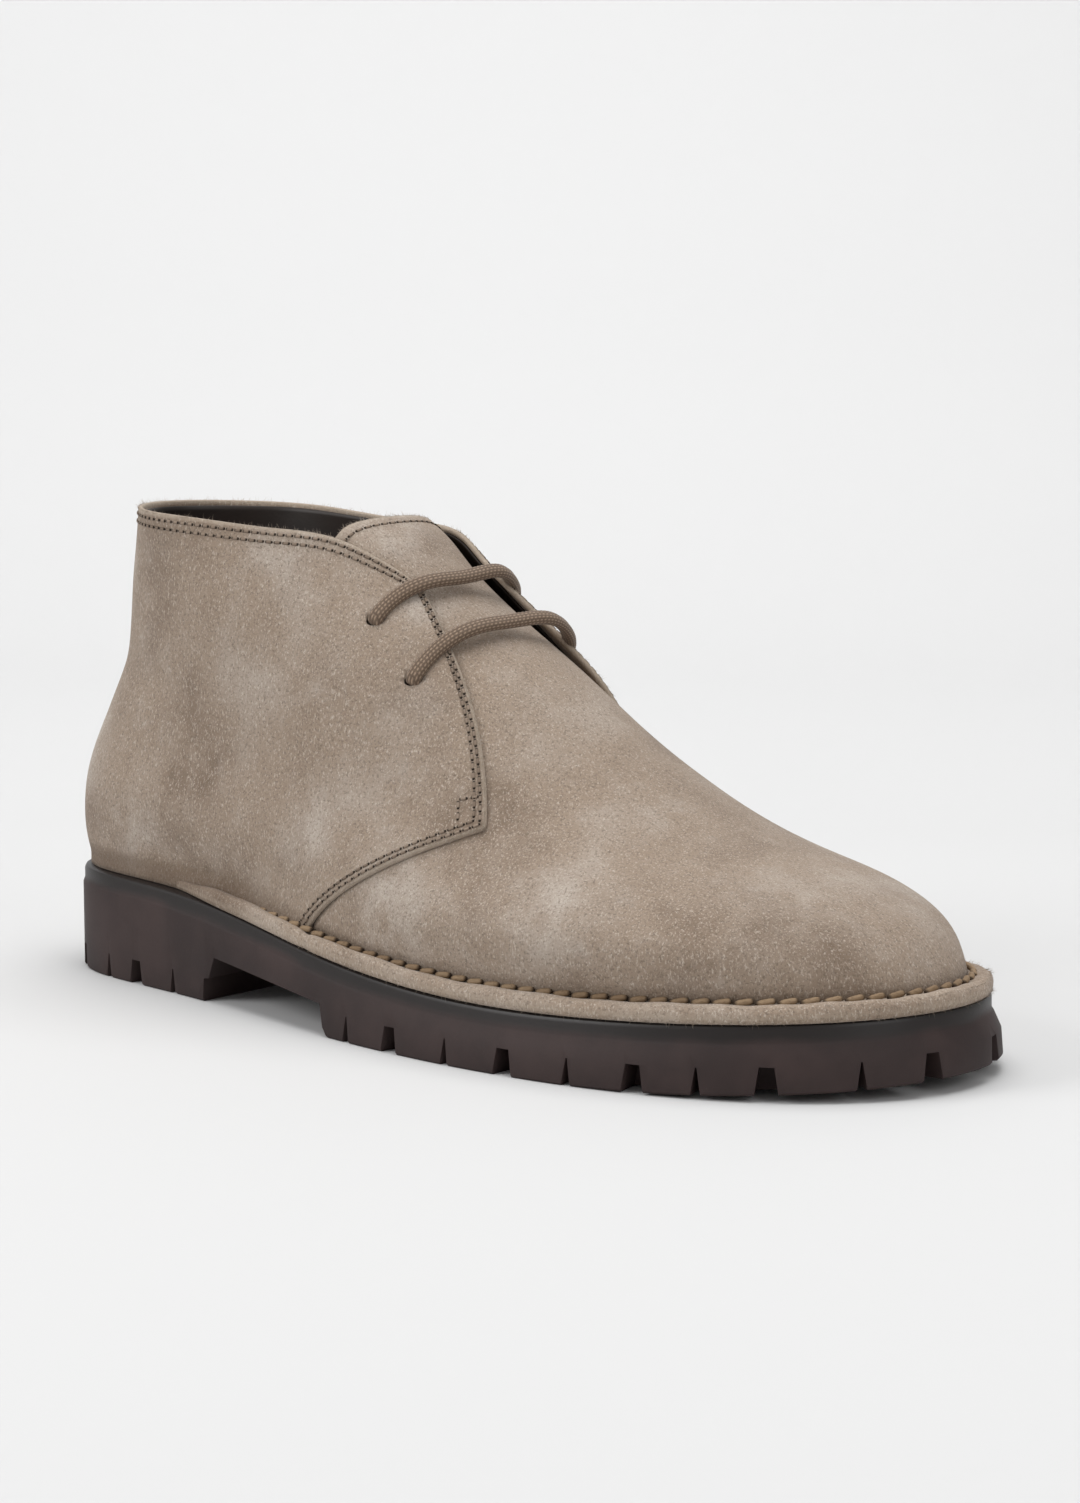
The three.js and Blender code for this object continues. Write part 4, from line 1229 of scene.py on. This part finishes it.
# %% Suede
SUEDE_MID = (0.308, 0.238, 0.181)
SUEDE_PALE = (0.470, 0.412, 0.360)
SUEDE_DARK = (0.172, 0.122, 0.087)
SUEDE_HAIR, SUEDE_RAW = (0.60, 0.52, 0.445), (0.43, 0.36, 0.285)
# The brown of the painted shade in the crease over the sole, and of the stain near the heel.
CREASE_SHADE_AND_STAIN = (0.105, 0.068, 0.043)
SPECK_SHADE, MOST_PATCH = 0.46, 0.85
PALE_PATCHES = [
    # x, y, z and radius in millimetres
    (14, -20, 60, 24), (20, -22, 118, 22), (146, -30, 84, 16), (120, -46, 52, 16),
    (160, -48, 36, 26), (150, -34, 66, 14), (214, -48, 36, 24), (262, -22, 34, 26),
    (118, -6, 128, 20), (96, -32, 128, 14), (40, -36, 44, 18), (136, -14, 112, 14),
    (230, 30, 38, 30), (60, 36, 70, 34),
]
DARK_PATCHES = [
    (46, -30, 108, 22), (72, -38, 70, 24), (118, -34, 90, 14), (30, -30, 86, 14),
    (86, -40, 36, 20), (176, -40, 62, 20), (190, -46, 40, 20), (250, -38, 28, 24),
    (60, -42, 44, 20), (104, -16, 124, 12), (120, 34, 80, 26), (270, 14, 30, 22),
]


def suede(name, pale_nap_and_painted_light=1.0):
    finish = Finish(name, Sheen_Weight=0.15, Sheen_Roughness=0.45, Specular_IOR_Level=0.12)
    clouds = finish.noise(30, 3.0, 0.50)
    patches = finish.noise(85, 4.0, 0.60)
    streaks = finish.noise(240, 3.0, 0.65, finish.stretched(0.35))
    grain = finish.noise(1250, 3.0, 0.80)
    hairs = finish.noise(1850, 2.0, 0.8, finish.stretched(0.45))
    pale = clouds.step(0.50, 0.74) * 0.45 + patches.step(0.52, 0.82) * 0.30
    dark = (1 - clouds).step(0.50, 0.74) * 0.60 + (1 - patches).step(0.52, 0.80) * 0.30
    for place in PALE_PATCHES:
        pale = pale + finish.near(*place) * patches.step(0.25, 0.70) * 0.66
    for place in DARK_PATCHES:
        dark = dark + finish.near(*place) * (1 - patches).step(0.25, 0.70) * 0.62
    colour = layered(
        SUEDE_MID,
        (pale.math("MINIMUM", MOST_PATCH), SUEDE_PALE),
        (dark.math("MINIMUM", MOST_PATCH), SUEDE_DARK),
        ((1 - grain).step(0.50, 0.66) * 0.66, tuple(SPECK_SHADE * c for c in SUEDE_MID)),
        (hairs.step(0.52, 0.70) * 0.60, SUEDE_HAIR),
        (streaks.step(0.52, 0.80) * 0.20, SUEDE_PALE),
        # Painted shade in the crease over the sole, with a brown stain near the heel.
        (finish.attribute("crease_shade_and_stain") * 0.62, CREASE_SHADE_AND_STAIN),
        ((1 - finish.attribute("edge_mm").step(0.15, 1.1)) * 0.5, SUEDE_RAW),
    )
    finish.bump(grain * 0.7 + hairs * 0.5 + patches * 0.4, 0.50, 0.9)
    # A factor over 1 lightens the whole colour; on the turned edge it is partly painted light.
    finish.paint(colour.scaled(pale_nap_and_painted_light), 0.86 + grain * 0.12)
    return finish


suede("suede").give(quarters, vamp)
# The turned edge takes the suede 1.08 times lighter: partly its paler turned nap, partly painted light that
# lifts the shade on its face.
suede("turned suede", 1.08).give(roll, fuzz)

# %% [markdown]
# ### Lining, rubber, thread and lace

# %% Other finishes
lining_finish = Finish("lining", Roughness=0.48, Specular_IOR_Level=0.35)
pores = lining_finish.noise(900, 3.0, 0.7)
lining_finish.bump(pores, 0.08, 0.6)
polish = lining_finish.noise(60, 3.0).step(0.3, 0.7)
lining_finish.paint(polish.mix((0.016, 0.011, 0.0085), (0.028, 0.019, 0.015)))
lining_finish.give(lining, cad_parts["insole"])

rubber = Finish("rubber", Specular_IOR_Level=0.36)
depth = rubber.attribute("below_top")
cloud = rubber.noise(40, 3.0, 0.6)
grit = rubber.noise(1400, 3.0, 0.7)
# Along the top of the sole's side: its darker colour is painted shade, and its lower roughness is the rubber's
# own gloss.
shaded_glossy_band = 1 - (depth + (cloud - 0.5) * 3.0).step(2.6, 5.4)
wear = rubber.noise(420, 4.0, 0.7).step(0.66, 0.80)
body = layered(
    (0.024, 0.0135, 0.0125),
    (cloud.step(0.32, 0.70), (0.040, 0.0235, 0.0215)),
    # Painted shade on the sole's top band.
    (shaded_glossy_band * 0.90, (0.0125, 0.0100, 0.0092)),
    (wear * 0.20, (0.085, 0.062, 0.056)),
)
rubber.bump(grit * 0.5 + cloud * 0.6, 0.10, 0.5)
rubber.paint(body, 0.60 - shaded_glossy_band * 0.24 + grit * 0.10)
rubber.give(outsole)

thread = Finish("fine thread", Roughness=0.7, Specular_IOR_Level=0.25)
twist = thread.noise(2600, 2.0, 0.6)
thread.bump(twist, 0.1, 0.7)
taupe = thread.attribute("tint").mix((0.185, 0.138, 0.102), (0.260, 0.200, 0.152))
# The stitch ends are painted near black as the shade in their holes.
thread.paint(thread.attribute("hole").step(0.05, 0.55).mix(taupe, (0.022, 0.014, 0.009)))
thread.give(fine_thread)

cord = Finish("rope thread", Roughness=0.72, Specular_IOR_Level=0.25)
strands = cord.noise(900, 2.0, 0.6, cord.stretched(2.4))
cord.bump(strands, 0.25, 0.8)
cord.paint(layered(
    (0.200, 0.132, 0.076),
    (cord.attribute("tint"), (0.285, 0.198, 0.120)),
    (strands.step(0.52, 0.72) * 0.55, (0.130, 0.082, 0.045)),
    # Painted shade at the stitch ends, where the rope dips into its holes.
    (cord.attribute("hole").step(0.25, 1.0), (0.035, 0.021, 0.012)),
))
cord.give(rope)

braid_finish = Finish("lace braid", Roughness=0.66, Specular_IOR_Level=0.25, Sheen_Weight=0.1)
woven = braid_finish.attribute("braid")
hairs = braid_finish.noise(2400, 2.0, 0.7)
tone = woven.step(0.15, 0.95).mix((0.112, 0.075, 0.051), (0.325, 0.235, 0.163))
braid_finish.bump(woven * 0.7 + hairs * 0.4, 0.16, 0.8)
braid_finish.paint((hairs.step(0.5, 0.8) * 0.3).mix(tone, (0.42, 0.30, 0.21)))
braid_finish.give(lace)
print("materials:", len(bpy.data.materials))

# %% [markdown]
# ## Frame ties
# Every piece rides on the one body. Four of them each stand for a CAD node.

# %% Ties
for piece, node, slot in (
    (outsole, "outsole", "sole_rubber"),
    (quarters, "upper", "suede"),
    (vamp, "tongue", "suede"),
    (lining, None, "lining_leather"),
    (roll, None, "suede"),
    (fuzz, None, "suede"),
    (fine_thread, None, None),
    (rope, None, None),
    (lace, "lace", "lace_braid"),
):
    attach(piece, "root")
    if node:
        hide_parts(node)
print("pieces tied")

# %% [markdown]
# ## Stage, light and camera
# The floor and the wall behind it are one pale sheet. Soft lights stand above, in front on the left
# and on the right. The camera's place was found from the sole's edges in the photograph.

# %% Stage
SHEET_TONES = [
    # way along the sheet plus height in metres, and the paper's tone there
    (-0.1, 0.638), (0.35, 0.638), (0.9, 0.722), (1.17, 0.748), (1.35, 0.765), (1.48, 0.770),
    (1.63, 0.788), (1.76, 0.800), (1.9, 0.825),
]
SHEET_WIDTH, SHEET_TURN = 6.0, math.radians(36.7)
EYE, AIM = np.array([0.5952, -0.7113, 0.1901]), np.array([0.0081, 0.0127, 0.0726])
LENS, SENSOR_HEIGHT = 82.0, 36
LIGHTS = [
    # name, watts, size in metres, place
    ("top", 21, 1.5, (0.0, 0.15, 1.6)),
    ("front left", 14, 1.0, (-0.9, -1.3, 1.0)),
    ("right", 5, 0.9, (1.5, -0.3, 0.9)),
]
LIGHT_AIM, WORLD_STRENGTH = (0.0, 0.0, 0.06), 0.42


def stage_sheet():
    bend = [(-2.2, 0.0), (-0.1, 0.0), (0.15, 0.0), (0.35, 0.0), (0.6, 0.0)] + [
        (0.9 + 0.5 * math.sin(t), 0.5 - 0.5 * math.cos(t)) for t in np.linspace(0, math.pi / 2, 16)
    ] + [(1.4, 3.0)]
    sine, cosine = math.sin(SHEET_TURN), math.cos(SHEET_TURN)
    points = [[side * cosine - along * sine, side * sine + along * cosine, z]
              for along, z in bend for side in (-SHEET_WIDTH / 2, SHEET_WIDTH / 2)]
    faces = [[2 * k, 2 * k + 1, 2 * k + 3, 2 * k + 2] for k in range(len(bend) - 1)]
    tones = np.repeat([np.interp(along + z, *zip(*SHEET_TONES)) for along, z in bend], 2)
    return mesh_piece("floor", np.array(points) / MM + ORIGIN, faces, {"tone": tones})


def placed(name, data, place, aim):
    """Adds a light or a camera at a place, turned to its aim."""
    thing = bpy.data.objects.new(name, data)
    back = unit(np.array(place) - np.array(aim))
    right = unit(np.cross([0, 0, 1], back))
    turned = Matrix(np.column_stack([right, np.cross(back, right), back]).tolist())
    thing.matrix_world = turned.to_4x4()
    thing.location = place
    scene.collection.objects.link(thing)
    thing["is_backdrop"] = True
    return thing


floor = stage_sheet()
paper = Finish("paper", Roughness=0.9, Specular_IOR_Level=0.1)
paper.paint(paper.attribute("tone").mix((0.0, 0.0, 0.0), (1.0, 1.0, 1.0)))
paper.give(floor)
floor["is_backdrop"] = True
for name, energy, size, place in LIGHTS:
    light = bpy.data.lights.new(name, "AREA")
    light.energy, light.shape, light.size = energy, "DISK", size
    placed(name, light, place, LIGHT_AIM)
world = bpy.data.worlds.new("studio")
world.use_nodes = True
sky = world.node_tree.nodes["Background"].inputs
sky["Color"].default_value = (1, 1, 1, 1)
sky["Strength"].default_value = WORLD_STRENGTH
scene.world = world
scene.view_settings.view_transform = "Standard"

camera_data = bpy.data.cameras.new("camera")
camera_data.sensor_fit, camera_data.sensor_height = "VERTICAL", SENSOR_HEIGHT
camera_data.lens = LENS
scene.camera = placed("camera", camera_data, EYE, AIM)
print("camera stands", round(float(np.linalg.norm(EYE)), 2), "m from the boot")

# %% Sizes and finish
size = {"load": [list(corner) for corner in bounds_at_load], "end": [list(corner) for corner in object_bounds()]}
print(size)
